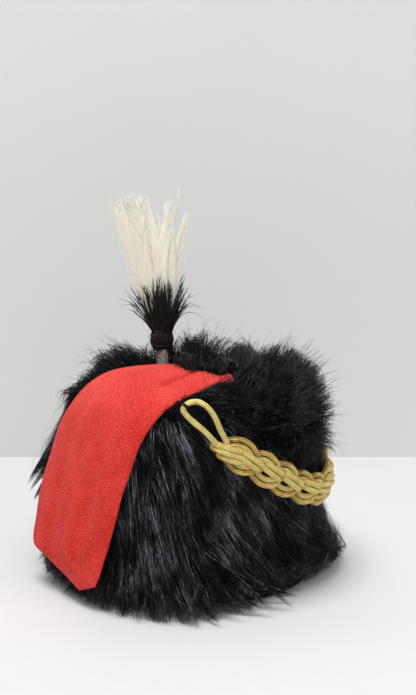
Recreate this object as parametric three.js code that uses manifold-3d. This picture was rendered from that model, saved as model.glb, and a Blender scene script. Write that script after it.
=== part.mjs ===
// A fur busby: an oval cap of long black fur with a red cloth bag, a short feather plume
// and a plaited gold festoon across the front.
//
// Millimetres, +Z up. The origin is on the surface that the hat stands on, under its middle.
// The front, where the festoon hangs, faces -Y and the wearer's right is -X.
import * as THREE from "three";
import { mergeVertices } from "three/addons/utils/BufferGeometryUtils.js";
import Module from "manifold-3d";

const wasm = await Module();
wasm.setup();

// ---------------------------------------------------------------- driving dimensions
const GAP = 0.3; // clearance between neighbours that touch
const SIDE_TO_FRONT = 17; // every oval is this much longer to its front than to its side
const OVAL_CORE = 60; // inside this half-width the ovals shrink evenly to the axis
const OUTWARD_OVAL = 100; // half-width of the oval that says which way is out of the hat
const BODY_WALL = 3; // thickness of the moulded cap body
const BELOW_HEM = 5; // how far the hollow is let down past the hem, so that it cuts through
const FLOOR_CUT = { size: 400, depth: 60 }; // block that keeps the fur off the ground
const CROWN_SEAM = 158; // height where the fur of the crown is sewn to the fur of the sides
const FACETS = 28; // facets round the cap body and the pile
const BAG_THICKNESS = 3; // two layers of cloth
const CORD = 4.6; // thickness of one gold cord

// Outside of the cap body, from the hem to the crown.
const BODY_PROFILE = [
  { reach: 85, height: 0 },
  { reach: 85, height: 60 },
  { reach: 84, height: 115 },
  { reach: 80, height: 142 },
  { reach: 67, height: 158 },
  { reach: 42, height: 165 },
];
const BODY_TOP = 168;

// Outside of the dense pile, from the hem to the crown.
const PILE_PROFILE = [
  { reach: 110, height: 0 },
  { reach: 106, height: 18 },
  { reach: 100, height: 48 },
  { reach: 98, height: 84 },
  { reach: 99, height: 124 },
  { reach: 98, height: 150 },
  { reach: 90, height: 169 },
  { reach: 76, height: 180 },
  { reach: 48, height: 182 },
];
const PILE_TOP = 179;

// Where the fur reaches further than its profile (by more than 0) or less: bearing and width of
// the span round the hat, and height and tallness of the span up it.
const SPREADS = [
  { by: -5, bearing: 0, width: 50, height: 72, tallness: 42 }, // pressed in round the festoon
  { by: 13, bearing: 152, width: 24, height: 94, tallness: 28 }, // tuft at the back right
];

// The same for the hem. It is full at the ground and fades out by HEM_SWEEP_TOP.
const HEM_SWEEPS = [
  { by: 7, bearing: -95, width: 25 },
  { by: -13, bearing: 24, width: 30 },
];
const HEM_SWEEP_TOP = 130;
const HEM_SKEW = { by: 6, bearing: 105 }; // wider along this bearing and narrower across it

// Where the fur stands higher round the crown. It starts at one height and is full at the other.
const MOUNDS = [
  { by: 9, bearing: -30, width: 38 },
  { by: 7, bearing: -130, width: 50 },
  { by: -6, bearing: 160, width: 30 },
];
const MOUND_FROM = 150;
const MOUND_FULL = 180;
const MOUND_REACH = [35, 75]; // half-widths between which a mound comes in from the crown's middle

// Rows of locks. A lock leaves the pile at its root, bellies out and ends in a point. Each place is
// a half-width and a height, and size is its width and depth. lift is how far the front locks of a
// row stand up and out. bare is the span of bearings where the bag lies on the pile, with no locks
// under it.
const LOCK_ROWS = [
  { count: 20, root: [95, 56], belly: [111, 26], tip: [122, -8], size: [35, 14], lift: 0, bare: [0, 0] },
  { count: 17, root: [88, 92], belly: [106, 62], tip: [116, 14], size: [38, 14], lift: 0, bare: [96, 138] },
  { count: 15, root: [87, 128], belly: [105, 100], tip: [110, 54], size: [40, 14], lift: 6, bare: [96, 138] },
  { count: 13, root: [80, 160], belly: [104, 140], tip: [108, 96], size: [41, 15], lift: 26, bare: [96, 138] },
  { count: 12, root: [66, 162], belly: [95, 172], tip: [107, 164], size: [38, 16], lift: 16, bare: [62, 146] },
  { count: 11, root: [50, 160], belly: [76, 184], tip: [89, 196], size: [38, 16], lift: 0, bare: [25, 160] },
  { count: 6, root: [22, 166], belly: [42, 186], tip: [56, 196], size: [36, 15], lift: 0, bare: [25, 160] },
];
const LOCK_FLOOR = -8; // tips reach this far down before the ground cuts them off
const LOCK_LIFT = { bearing: -10, width: 55 }; // where the front locks stand up most
const LOCK_LEAN = { by: 5, bearing: 40, width: 35 }; // where the locks lean towards the left
const LOCK_UNEVEN = { length: 0.14, lean: 5, place: 0.25 };
const LOCK_STATIONS = [
  { share: 0.3, wide: 0.75, thick: 0.35 },
  { share: 0.62, wide: 0.9, thick: 0.5 },
];

// The bag, from its tucked inner end to its blunt hanging point. Each row runs across the cloth
// from the edge nearer the front to the edge nearer the back; bow is how far its middle stands out.
const BAG_ROWS = [
  { near: [14, -31, 173], far: [18, -27, 174], bow: 0 },
  { near: [-8, -35, 173.5], far: [15, -14, 176], bow: 1 },
  { near: [-26, -34, 173], far: [13, 2, 178.5], bow: 3 },
  { near: [-42, -31, 172], far: [8, 24, 180], bow: 5 },
  { near: [-58, -28, 170.5], far: [1, 42, 179.5], bow: 7 },
  { near: [-72, -24, 168], far: [-11, 62, 177.5], bow: 9 },
  { near: [-85, -20, 163.5], far: [-25, 76, 174], bow: 11 },
  { near: [-98, -15, 154.5], far: [-41, 85, 166], bow: 13 },
  { near: [-108, -8, 138], far: [-55, 91, 154], bow: 13 },
  { near: [-114, -3, 118], far: [-67, 97, 137], bow: 11 },
  { near: [-120, 2, 98], far: [-77, 100, 114], bow: 9 },
  { near: [-124, 6, 77], far: [-88, 104, 86], bow: 7 },
  { near: [-129, 10, 56], far: [-95, 105.5, 58], bow: 6 },
  { near: [-131, 13, 45], far: [-100, 105.5, 36], bow: 5 },
  { near: [-132.5, 15, 37], far: [-105.5, 90, 28.5], bow: 4 },
  { near: [-133.5, 17, 30], far: [-117.5, 62, 20.5], bow: 2 },
  { near: [-134.5, 20, 22.5], far: [-129, 39, 14], bow: 0 },
];
const BAG_OPEN_ROW = 1; // from this row on, no fur lies over the cloth
const BAG_STEPS = 19;
const BAG_COLUMNS = 7;
const BAG_FOLD = 1.2; // depth of the soft folds down the hanging cloth
const BAG_FOLDS = 2.5; // number of them across it
const BAG_FOLD_START = 0.6; // where across the cloth the first one begins, in radians
const BAG_HANG = { from: 0.45, full: 0.7, fading: 0.8, gone: 0.95 }; // shares of its length with folds
const BAG_SLOPE_SPAN = 0.03; // share of its length over which its slope is measured
const FUR_OVER_BAG = 45; // no fur stands over the open cloth up to this distance

// The middle of the gold plait, from the wearer's right to the left.
const PLAIT_ROUTE = [
  { bearing: 55.5, height: 141, reach: 108 },
  { bearing: 46, height: 129.5, reach: 106.5 },
  { bearing: 36, height: 117, reach: 105 },
  { bearing: 26, height: 104.5, reach: 103.5 },
  { bearing: 16, height: 94.5, reach: 103 },
  { bearing: 6, height: 88, reach: 103 },
  { bearing: -4, height: 86, reach: 103 },
  { bearing: -15, height: 87, reach: 103.5 },
  { bearing: -27, height: 92, reach: 102 },
  { bearing: -39, height: 102, reach: 101.5 },
  { bearing: -51, height: 117, reach: 103 },
  { bearing: -62, height: 135, reach: 106.5 },
];
const PLAIT_STEPS = 31;
const PLAIT_PERIODS = 3.25; // times that each strand goes from one edge to the other and back
const STRAND_SWING = 9.5; // how far a strand's middle swings to each side
const STRAND_WEAVE = 3; // how far it rises over and dips under its neighbours
const STRAND_HALF_WIDTH = 4.9; // a strand is two cords side by side
const STRAND_HALF_THICKNESS = 2.4;
const PLAIT_END_TAPER = 14; // length over which the strands gather at each end
const PLAIT_END_SWING = 0.35; // share of the swing that is left there
const STRAND_SIDES = 5;

// A loop beyond the plait's end: bearing and height from the end, and half-width.
const LOOP_ROUTE = [
  { turn: 1.4, rise: 0.5, reach: 108.5 },
  { turn: 6, rise: 11, reach: 108 },
  { turn: 12.6, rise: 22.5, reach: 105.5 },
  { turn: 14.4, rise: 27.5, reach: 103.5 },
  { turn: 13, rise: 31.5, reach: 100.6 },
  { turn: 9, rise: 32.8, reach: 98 },
  { turn: 5.2, rise: 29.5, reach: 101 },
  { turn: 2.4, rise: 22.5, reach: 105 },
  { turn: 0.4, rise: 13, reach: 107.8 },
  { turn: -2, rise: 2.5, reach: 108.5 },
];
const LOOP_STEPS = 20;
const LOOP_SIDES = 6;

// The fur that the festoon presses down.
const PRESSED_BEYOND = 5; // how far it stays pressed past the end of a cord
const PRESSED_STEPS = 24;
const PRESSED_SIDE = 1.5; // clearance to each side of the plait
const PRESSED_OVER = 16; // no fur stands over the cord up to this distance

// Black thread tied round each loop.
const STITCH_AT = 0.45; // share of the loop's length where it is
const STITCH_THREAD = 1.3;
const STITCH_RING = CORD / 2 + GAP + 0.8;
const STITCH_SIDES = 10;

// The plume. Its broad side faces this bearing.
const PLUME_FOOT = { x: 30, y: 50 };
const PLUME_FACING = 62;
const STEM_TOP = 185;
const BINDING_TOP = 206;
const PLUME_SIDES = 12;
const COLLAR_INSIDE = 7.8;
const BINDING = { turns: 4, ridge: 0.6, bottom: 7.4, top: 10.2 }; // thread wound round the stem

// Profiles of the plume's round parts: half-width and height.
const STEM_PROFILE = [
  [0, 150],
  [5.6, 150],
  [6.2, 172],
  [5.4, STEM_TOP - 3],
  [6.2, STEM_TOP],
  [0, STEM_TOP],
];
const CORE_PROFILE = [
  [0, BINDING_TOP + GAP],
  [6, BINDING_TOP + GAP],
  [7.5, 226],
  [5, 235],
  [0, 238],
];
const COLLAR_PROFILE = [
  [COLLAR_INSIDE, BINDING_TOP + GAP],
  [10.4, BINDING_TOP + GAP],
  [11.2, 215],
  [9.6, 221],
  [COLLAR_INSIDE, 221],
  [COLLAR_INSIDE, BINDING_TOP + GAP],
];

// The hollow in the fur round the foot of the plume, with clearance round the stem.
const DIMPLE_PROFILE = [
  [0, 140],
  [6.4 + GAP, 140],
  [6.4 + GAP, 170],
  [18, 177],
  [36, 192],
  [36, 240],
  [0, 240],
];

// White blades: where each leaves the core and where it ends, across the plume and up.
const BLADES = [
  { foot: [-4, 226], bend: [-21, 272], tip: [-45, 321], width: 11, depth: 1.6 },
  { foot: [-3, 226], bend: [-19, 278], tip: [-38, 328], width: 13, depth: -1.2 },
  { foot: [-3, 228], bend: [-15, 284], tip: [-30, 326], width: 13, depth: 2.2 },
  { foot: [0, 226], bend: [-10, 280], tip: [-19, 326], width: 20, depth: -0.6 },
  { foot: [0, 224], bend: [-6, 276], tip: [-13, 323], width: 16, depth: 3.4 },
  { foot: [2, 226], bend: [2, 272], tip: [9, 320], width: 17, depth: 0.6 },
  { foot: [3, 226], bend: [6, 268], tip: [24, 310], width: 12, depth: -2.2 },
  { foot: [0, 224], bend: [-2, 262], tip: [-4, 300], width: 20, depth: -4 },
];
const BLADE_THICKNESS = 2.6;
const BLADE_STATIONS = [
  { share: 0.06, wide: 0.34 },
  { share: 0.3, wide: 0.72 },
  { share: 0.6, wide: 1 },
  { share: 0.85, wide: 0.8 },
];
const BLADE_DEPTH_BY = 0.4; // share of its length where a blade has reached its own depth

// Black hackles round the foot of the plume: direction round it, reach and height of each point.
const HACKLES = [
  { around: 5, reach: 40, top: 227 },
  { around: 28, reach: 31, top: 240 },
  { around: 52, reach: 26, top: 248 },
  { around: 78, reach: 20, top: 255 },
  { around: 102, reach: 20, top: 256 },
  { around: 126, reach: 26, top: 258 },
  { around: 149, reach: 33, top: 256 },
  { around: 171, reach: 40, top: 245 },
  { around: 194, reach: 42, top: 240 },
  { around: 216, reach: 33, top: 256 },
  { around: 240, reach: 24, top: 256 },
  { around: 264, reach: 20, top: 251 },
  { around: 292, reach: 22, top: 252 },
  { around: 325, reach: 31, top: 244 },
];
const HACKLE_WIDTH = 5.8;
const HACKLE_THICKNESS = 2.4;
const HACKLE_FOOT = { reach: 9.2, height: 212 };
const HACKLE_BEND = { reach: 10, outward: 0.22, upward: 0.62 };
const HACKLE_STATIONS = [
  { share: 0.1, wide: 1, thick: 1 },
  { share: 0.4, wide: 0.9, thick: 0.8 },
  { share: 0.75, wide: 0.5, thick: 0.55 },
];

// ---------------------------------------------------------------- materials
const material = (color, roughness, metalness) =>
  new THREE.MeshStandardMaterial({ color, roughness, metalness });
const FINISH = {
  body: material(0x161514, 0.8, 0),
  fur: material(0x101012, 0.55, 0),
  cloth: material(0xd63a34, 0.95, 0),
  feather: material(0xeae6d6, 0.7, 0),
  hackle: material(0x0d0d0e, 0.6, 0),
  thread: material(0x111112, 0.6, 0),
  stem: material(0xb69a82, 0.7, 0),
  gold: material(0xd2b45a, 0.4, 0.6),
};

// ---------------------------------------------------------------- hat coordinates
const radians = THREE.MathUtils.degToRad;

// A place on the hat: half-width of the oval it is on, bearing round the hat and height.
// Bearing 0 is the front and 90 is the wearer's right.
function place(reach, bearing, height) {
  const turn = radians(bearing);
  const length = reach + SIDE_TO_FRONT * Math.min(1, reach / OVAL_CORE);
  return new THREE.Vector3(-reach * Math.sin(turn), -length * Math.cos(turn), height);
}

// Horizontal direction out of the hat at a place.
function outward(point) {
  const front = OUTWARD_OVAL + SIDE_TO_FRONT;
  return new THREE.Vector3(point.x / OUTWARD_OVAL ** 2, point.y / front ** 2, 0).normalize();
}

// 1 at a bearing, falling off to nothing over a width to both sides.
function near(bearing, middle, width) {
  const apart = ((((bearing - middle) % 360) + 540) % 360) - 180;
  return Math.exp(-((apart / width) ** 2));
}

// Sum of spans round the hat.
const spans = (rows, bearing) =>
  rows.reduce((sum, row) => sum + row.by * near(bearing, row.bearing, row.width), 0);

// How much further than its profile the fur reaches at a bearing and height.
function spread(bearing, height) {
  const low = THREE.MathUtils.clamp(1 - height / HEM_SWEEP_TOP, 0, 1);
  const skew = HEM_SKEW.by * Math.cos(2 * radians(bearing - HEM_SKEW.bearing));
  const local = SPREADS.reduce((sum, row) => {
    const level = Math.exp(-(((height - row.height) / row.tallness) ** 2));
    return sum + row.by * near(bearing, row.bearing, row.width) * level;
  }, 0);
  return (skew + spans(HEM_SWEEPS, bearing)) * low + local;
}

// How much higher than its profile the fur stands round the crown.
function mound(bearing, height) {
  return THREE.MathUtils.smoothstep(height, MOUND_FROM, MOUND_FULL) * spans(MOUNDS, bearing);
}

// A fixed, uneven share between -1 and 1 for the lock or feather with this number.
const uneven = (number, kind) =>
  Math.sin(number * 12.9 + kind * 78.2) * Math.cos(number * 5.3 + kind * 3.7);

// ---------------------------------------------------------------- closed surfaces
function closedGeometry(points, triangles) {
  let volume = 0;
  for (let i = 0; i < triangles.length; i += 3) {
    const [a, b, c] = [points[triangles[i]], points[triangles[i + 1]], points[triangles[i + 2]]];
    volume += a.dot(new THREE.Vector3().crossVectors(b, c));
  }
  const index = volume > 0 ? triangles : triangles.slice().reverse();
  const geometry = new THREE.BufferGeometry().setFromPoints(points);
  geometry.setIndex(index);
  return geometry;
}

// Closed surface through rings of points. A ring of one point closes an end.
function loft(rings) {
  const points = rings.flat();
  const triangles = [];
  let start = 0;
  for (let row = 0; row + 1 < rings.length; row += 1) {
    const here = rings[row].length;
    const there = rings[row + 1].length;
    const count = Math.max(here, there);
    for (let i = 0; i < count; i += 1) {
      const next = (i + 1) % count;
      const a = start + (here > 1 ? i : 0);
      const b = start + (here > 1 ? next : 0);
      const c = start + here + (there > 1 ? next : 0);
      const d = start + here + (there > 1 ? i : 0);
      if (here > 1) triangles.push(a, b, d);
      if (there > 1) triangles.push(b, c, d);
    }
    start += here;
  }
  return closedGeometry(points, triangles);
}

// A place on the fur, whose ovals are spread and mounded.
function furPlace(reach, bearing, height) {
  const rise = mound(bearing, height) * THREE.MathUtils.smoothstep(reach, ...MOUND_REACH);
  return place(reach + spread(bearing, height), bearing, height + rise);
}

// Ring of an oval.
const ovalRing = (reach, height, at = place) =>
  Array.from({ length: FACETS }, (_, i) => at(reach, (i * 360) / FACETS, height));

// Filled dome through a profile, grown by a margin, and let down below the hem by a drop.
function dome(profile, top, margin, drop = 0, at = place) {
  const rings = profile.map((row, i) => {
    const rim = i === 0 ? -drop : row.height + (margin * row.height) / top;
    return ovalRing(row.reach + margin, rim, at);
  });
  const hem = new THREE.Vector3(0, 0, -drop);
  return loft([[hem], ...rings, [new THREE.Vector3(0, 0, top + margin)]]);
}

// Closed sweep of a section along a curve. frame(point, tangent) gives the section's two directions,
// section lists its corners along them, and the ends reach a little beyond the curve if asked to.
function sweep(curve, steps, frame, section, beyond = 0) {
  const middles = [];
  const rings = [];
  for (let i = 0; i <= steps; i += 1) {
    const point = curve.getPointAt(i / steps);
    const tangent = curve.getTangentAt(i / steps);
    const [across, out] = frame(point, tangent);
    if (i === 0) point.addScaledVector(tangent, -beyond);
    if (i === steps) point.addScaledVector(tangent, beyond);
    middles.push(point);
    rings.push(
      section.map(([u, v]) => point.clone().addScaledVector(across, u).addScaledVector(out, v)),
    );
  }
  return loft([[middles[0]], ...rings, [middles[steps]]]);
}

// Directions for a section that lies on the hat: across the cord, and out of the hat.
function hatFrame(point, tangent) {
  const out = outward(point);
  out.addScaledVector(tangent, -out.dot(tangent)).normalize();
  return [new THREE.Vector3().crossVectors(tangent, out), out];
}

const roundSection = (radius, sides) =>
  Array.from({ length: sides }, (_, i) => {
    const turn = (i * 2 * Math.PI) / sides;
    return [radius * Math.cos(turn), radius * Math.sin(turn)];
  });

// ---------------------------------------------------------------- joins and cuts
function toSolid(geometry) {
  const bare = geometry.clone();
  bare.deleteAttribute("normal");
  bare.deleteAttribute("uv");
  const merged = mergeVertices(bare, 1e-4);
  return new wasm.Manifold(
    new wasm.Mesh({
      numProp: 3,
      vertProperties: new Float32Array(merged.attributes.position.array),
      triVerts: new Uint32Array(merged.index.array),
    }),
  );
}

function toGeometry(solid) {
  const { numProp, vertProperties, triVerts } = solid.getMesh();
  const positions = new Float32Array((vertProperties.length / numProp) * 3);
  for (let i = 0; i < positions.length / 3; i += 1) {
    positions.set(vertProperties.subarray(i * numProp, i * numProp + 3), i * 3);
  }
  const geometry = new THREE.BufferGeometry();
  geometry.setAttribute("position", new THREE.BufferAttribute(positions, 3));
  geometry.setIndex(new THREE.BufferAttribute(new Uint32Array(triVerts), 1));
  return geometry;
}

const fuse = (solids) => solids.reduce((sum, solid) => sum.add(solid));

// The largest single body of a solid: loose ends left by a cut are dropped.
function mainBody(solid) {
  const bodies = solid.decompose();
  return bodies.reduce((best, body) => (body.volume() > best.volume() ? body : best));
}

// ---------------------------------------------------------------- cap body
const crownInside = (margin) => toSolid(dome(BODY_PROFILE, BODY_TOP, margin, BELOW_HEM));

function capBody() {
  const outside = toSolid(dome(BODY_PROFILE, BODY_TOP, 0));
  return outside.subtract(crownInside(-BODY_WALL));
}

// ---------------------------------------------------------------- bag
function bagGrid(steps, columns) {
  const rail = (side) =>
    new THREE.CatmullRomCurve3(BAG_ROWS.map((row) => new THREE.Vector3(...row[side])));
  const nearRail = rail("near");
  const farRail = rail("far");
  const last = BAG_ROWS.length - 1;
  const grid = [];
  for (let i = 0; i <= steps; i += 1) {
    const share = i / steps;
    const row = Math.min(last - 1, Math.floor(share * last));
    const bow = THREE.MathUtils.lerp(BAG_ROWS[row].bow, BAG_ROWS[row + 1].bow, share * last - row);
    const start = nearRail.getPoint(share);
    const end = farRail.getPoint(share);
    const across = end.clone().sub(start);
    const ahead = Math.min(1, share + BAG_SLOPE_SPAN);
    const behind = Math.max(0, share - BAG_SLOPE_SPAN);
    const along = nearRail.getPoint(ahead).add(farRail.getPoint(ahead));
    along.sub(nearRail.getPoint(behind)).sub(farRail.getPoint(behind));
    const out = new THREE.Vector3().crossVectors(across, along).normalize();
    const hanging = THREE.MathUtils.smoothstep(share, BAG_HANG.from, BAG_HANG.full);
    const ending = THREE.MathUtils.smoothstep(share, BAG_HANG.fading, BAG_HANG.gone);
    const depth = BAG_FOLD * hanging * (1 - ending);
    grid.push(
      Array.from({ length: columns + 1 }, (_, j) => {
        const side = j / columns;
        const wave = Math.sin(side * Math.PI * 2 * BAG_FOLDS + BAG_FOLD_START);
        const fold = depth * wave * Math.sin(side * Math.PI);
        return start
          .clone()
          .addScaledVector(across, side)
          .addScaledVector(out, 4 * bow * side * (1 - side) + fold);
      }),
    );
  }
  return grid;
}

// Closed plate on a grid of points: from one offset to another along the grid's own normals,
// with its edges moved out by a margin.
function plate(grid, inner, outer, margin = 0) {
  const rows = grid.length;
  const columns = grid[0].length;
  const at = (i, j) => grid[Math.min(rows - 1, Math.max(0, i))][Math.min(columns - 1, Math.max(0, j))];
  const points = [];
  for (const offset of [inner, outer]) {
    for (let i = 0; i < rows; i += 1) {
      for (let j = 0; j < columns; j += 1) {
        const along = at(i + 1, j).clone().sub(at(i - 1, j));
        const across = at(i, j + 1).clone().sub(at(i, j - 1));
        const out = new THREE.Vector3().crossVectors(across, along).normalize();
        const point = at(i, j).clone().addScaledVector(out, offset);
        if (j === 0) point.addScaledVector(across.normalize(), -margin);
        if (j === columns - 1) point.addScaledVector(across.normalize(), margin);
        if (i === 0) point.addScaledVector(along.normalize(), -margin);
        if (i === rows - 1) point.addScaledVector(along.normalize(), margin);
        points.push(point);
      }
    }
  }
  const layer = rows * columns;
  const triangles = [];
  const quad = (a, b, c, d) => triangles.push(a, b, c, a, c, d);
  for (let i = 0; i + 1 < rows; i += 1) {
    for (let j = 0; j + 1 < columns; j += 1) {
      const a = i * columns + j;
      quad(a, a + 1, a + columns + 1, a + columns);
      quad(layer + a, layer + a + columns, layer + a + columns + 1, layer + a + 1);
    }
  }
  const edge = (a, b) => quad(b, a, layer + a, layer + b);
  for (let j = 0; j + 1 < columns; j += 1) {
    edge(j, j + 1);
    edge(layer - 1 - j, layer - 2 - j);
  }
  for (let i = 0; i + 1 < rows; i += 1) {
    edge((i + 1) * columns, i * columns);
    edge((i + 1) * columns - 1, (i + 2) * columns - 1);
  }
  return closedGeometry(points, triangles);
}

const bagPlate = (grid, inner, outer, margin) => toSolid(plate(grid, inner, outer, margin));

// ---------------------------------------------------------------- festoon
const routeCurve = (rows) =>
  new THREE.CatmullRomCurve3(rows.map((row) => place(row.reach, row.bearing, row.height)));

// Middle line of one of the plait's three strands.
function strandCurve(route, strand) {
  const length = route.getLength();
  const points = [];
  const count = PLAIT_STEPS * 2;
  for (let i = 0; i <= count; i += 1) {
    const share = i / count;
    const point = route.getPointAt(share);
    const [across, out] = hatFrame(point, route.getTangentAt(share));
    const fromEnd = Math.min(share, 1 - share) * length;
    const open = THREE.MathUtils.smoothstep(fromEnd, 0, PLAIT_END_TAPER);
    const gathered = THREE.MathUtils.lerp(PLAIT_END_SWING, 1, open);
    const phase = 2 * Math.PI * (share * PLAIT_PERIODS + strand / 3);
    points.push(
      point
        .addScaledVector(across, STRAND_SWING * gathered * Math.sin(phase))
        .addScaledVector(out, STRAND_WEAVE * Math.sin(2 * phase)),
    );
  }
  return new THREE.CatmullRomCurve3(points);
}

function plait(route, margin = 0) {
  const halfWidth = STRAND_HALF_WIDTH + margin;
  const halfThickness = STRAND_HALF_THICKNESS + margin;
  const section = roundSection(1, STRAND_SIDES).map(([u, v]) => [u * halfWidth, v * halfThickness]);
  const strands = [0, 1, 2].map((strand) =>
    toSolid(sweep(strandCurve(route, strand), PLAIT_STEPS, hatFrame, section)),
  );
  return mainBody(fuse(strands));
}

// side is 1 for the loop on the wearer's right and -1 for the one on the left.
function loopCurve(end, side) {
  return new THREE.CatmullRomCurve3(
    LOOP_ROUTE.map(({ turn, rise, reach }) =>
      place(reach, end.bearing + side * turn, end.height + rise),
    ),
  );
}

const cord = (curve, radius) =>
  toSolid(sweep(curve, LOOP_STEPS, hatFrame, roundSection(radius, LOOP_SIDES)));

// Band along a curve, from an offset inside it to one outside it: the fur that a cord presses down.
function pressedBand(curve, steps, halfWidth, inside, outside) {
  const section = [
    [-halfWidth, -inside],
    [halfWidth, -inside],
    [halfWidth, outside],
    [-halfWidth, outside],
  ];
  return toSolid(sweep(curve, steps, hatFrame, section, PRESSED_BEYOND));
}

// Black thread tied round a loop's cord.
function stitch(curve, margin = 0) {
  const radius = STITCH_THREAD / 2 + margin;
  const ring = new THREE.TorusGeometry(STITCH_RING, radius, STRAND_SIDES, STITCH_SIDES);
  const turn = new THREE.Quaternion().setFromUnitVectors(
    new THREE.Vector3(0, 0, 1),
    curve.getTangentAt(STITCH_AT),
  );
  ring.applyQuaternion(turn);
  const point = curve.getPointAt(STITCH_AT);
  ring.translate(point.x, point.y, point.z);
  return toSolid(ring);
}

// ---------------------------------------------------------------- plume
// Solid of revolution about the plume's axis, from a profile of half-width and height.
function turned(profile) {
  const geometry = new THREE.LatheGeometry(
    profile.map(([reach, height]) => new THREE.Vector2(reach, height)),
    PLUME_SIDES,
  );
  geometry.rotateX(Math.PI / 2);
  geometry.translate(PLUME_FOOT.x, PLUME_FOOT.y, 0);
  return toSolid(geometry);
}

// A place on the plume: across its broad side, towards its front, and up.
function plumePlace(across, forward, height) {
  const turn = radians(PLUME_FACING);
  const right = new THREE.Vector3(Math.cos(turn), -Math.sin(turn), 0);
  const front = new THREE.Vector3(-Math.sin(turn), -Math.cos(turn), 0);
  return new THREE.Vector3(PLUME_FOOT.x, PLUME_FOOT.y, height)
    .addScaledVector(right, across)
    .addScaledVector(front, forward);
}

function blade({ foot, bend, tip, width, depth }) {
  const spine = new THREE.QuadraticBezierCurve(
    new THREE.Vector2(...foot),
    new THREE.Vector2(...bend),
    new THREE.Vector2(...tip),
  );
  const rings = BLADE_STATIONS.map(({ share, wide }) => {
    const { x, y } = spine.getPoint(share);
    const tangent = spine.getTangent(share);
    const half = (width * wide) / 2;
    const forward = depth * Math.min(1, share / BLADE_DEPTH_BY);
    return [
      plumePlace(x - half * tangent.y, forward, y + half * tangent.x),
      plumePlace(x, forward + BLADE_THICKNESS / 2, y),
      plumePlace(x + half * tangent.y, forward, y - half * tangent.x),
      plumePlace(x, forward - BLADE_THICKNESS / 2, y),
    ];
  });
  const start = plumePlace(foot[0], 0, foot[1]);
  const end = plumePlace(tip[0], depth, tip[1]);
  return toSolid(loft([[start], ...rings, [end]]));
}

const plumeFeathers = () => mainBody(fuse([turned(CORE_PROFILE), ...BLADES.map(blade)]));

function hackle({ around, reach, top }) {
  const turn = radians(around);
  const at = (distance, height, aside) =>
    plumePlace(
      distance * Math.cos(turn) - aside * Math.sin(turn),
      distance * Math.sin(turn) + aside * Math.cos(turn),
      height,
    );
  const foot = new THREE.Vector2(HACKLE_FOOT.reach, HACKLE_FOOT.height);
  const bend = new THREE.Vector2(
    HACKLE_BEND.reach + reach * HACKLE_BEND.outward,
    THREE.MathUtils.lerp(foot.y, top, HACKLE_BEND.upward),
  );
  const spine = new THREE.QuadraticBezierCurve(foot, bend, new THREE.Vector2(reach, top));
  const rings = HACKLE_STATIONS.map(({ share, wide, thick }) => {
    const { x, y } = spine.getPoint(share);
    const tangent = spine.getTangent(share);
    const half = (HACKLE_WIDTH / 2) * wide;
    const deep = (HACKLE_THICKNESS / 2) * thick;
    return [
      at(x, y, -half),
      at(x + deep * tangent.y, y - deep * tangent.x, 0),
      at(x, y, half),
      at(x - deep * tangent.y, y + deep * tangent.x, 0),
    ];
  });
  return toSolid(loft([[at(foot.x, foot.y, 0)], ...rings, [at(reach, top, 0)]]));
}

const plumeHackle = () => mainBody(fuse([turned(COLLAR_PROFILE), ...HACKLES.map(hackle)]));

function plumeBinding() {
  const bottom = STEM_TOP + GAP;
  const profile = [[0, bottom]];
  const rows = BINDING.turns * 2;
  for (let i = 0; i <= rows; i += 1) {
    const share = i / rows;
    const swell = Math.sin((share * Math.PI) / 2);
    const ridge = i % 2 === 1 ? BINDING.ridge : 0;
    profile.push([
      THREE.MathUtils.lerp(BINDING.bottom, BINDING.top, swell) + ridge,
      THREE.MathUtils.lerp(bottom, BINDING_TOP, share),
    ]);
  }
  profile.push([0, BINDING_TOP]);
  return turned(profile);
}

// The stem stands on the crown of the cap body.
const plumeStem = () => turned(STEM_PROFILE).subtract(crownInside(GAP));

// ---------------------------------------------------------------- fur
function lock(row, bearing, number) {
  const [width, depth] = row.size;
  const long = 1 + LOCK_UNEVEN.length * uneven(number, 1);
  const standing = row.lift * near(bearing, LOCK_LIFT.bearing, LOCK_LIFT.width);
  const leftward = LOCK_LEAN.by * near(bearing, LOCK_LEAN.bearing, LOCK_LEAN.width);
  const lean = LOCK_UNEVEN.lean * uneven(number, 2) - leftward;
  const root = new THREE.Vector2(...row.root);
  const tip = new THREE.Vector2(...row.tip).sub(root).multiplyScalar(long).add(root);
  tip.add(new THREE.Vector2(standing * 0.2, standing));
  const belly = new THREE.Vector2(...row.belly);
  belly.add(new THREE.Vector2(standing * 0.15, standing * 0.4));
  // this control point takes the curve through the belly
  const control = belly.multiplyScalar(2).addScaledVector(root, -0.5).addScaledVector(tip, -0.5);
  const spine = new THREE.QuadraticBezierCurve(root, control, tip);
  const at = (point, around) => furPlace(point.x, around, Math.max(point.y, LOCK_FLOOR));
  const rings = LOCK_STATIONS.map(({ share, wide, thick }) => {
    const point = spine.getPoint(share);
    const tangent = spine.getTangent(share);
    const out = new THREE.Vector2(-tangent.y, tangent.x);
    const middle = bearing + lean * share;
    const girth = point.x + SIDE_TO_FRONT / 2;
    const half = THREE.MathUtils.radToDeg((width * wide) / 2 / girth);
    const inside = point.clone().addScaledVector(out, -depth * thick);
    const ridge = point.clone().addScaledVector(out, depth * thick * 0.6);
    return [at(inside, middle - half), at(ridge, middle), at(inside, middle + half)];
  });
  return toSolid(loft([[at(root, bearing)], ...rings, [at(tip, bearing + lean)]]));
}

function furLocks() {
  const locks = [];
  LOCK_ROWS.forEach((row, level) => {
    for (let i = 0; i < row.count; i += 1) {
      const number = level * 40 + i;
      const stagger = 0.5 * (level % 2) + LOCK_UNEVEN.place * uneven(number, 3);
      const bearing = ((i + stagger) * 360) / row.count;
      const isBare = bearing > row.bare[0] && bearing < row.bare[1];
      if (!isBare) locks.push(lock(row, bearing, number));
    }
  });
  return locks;
}

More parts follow.
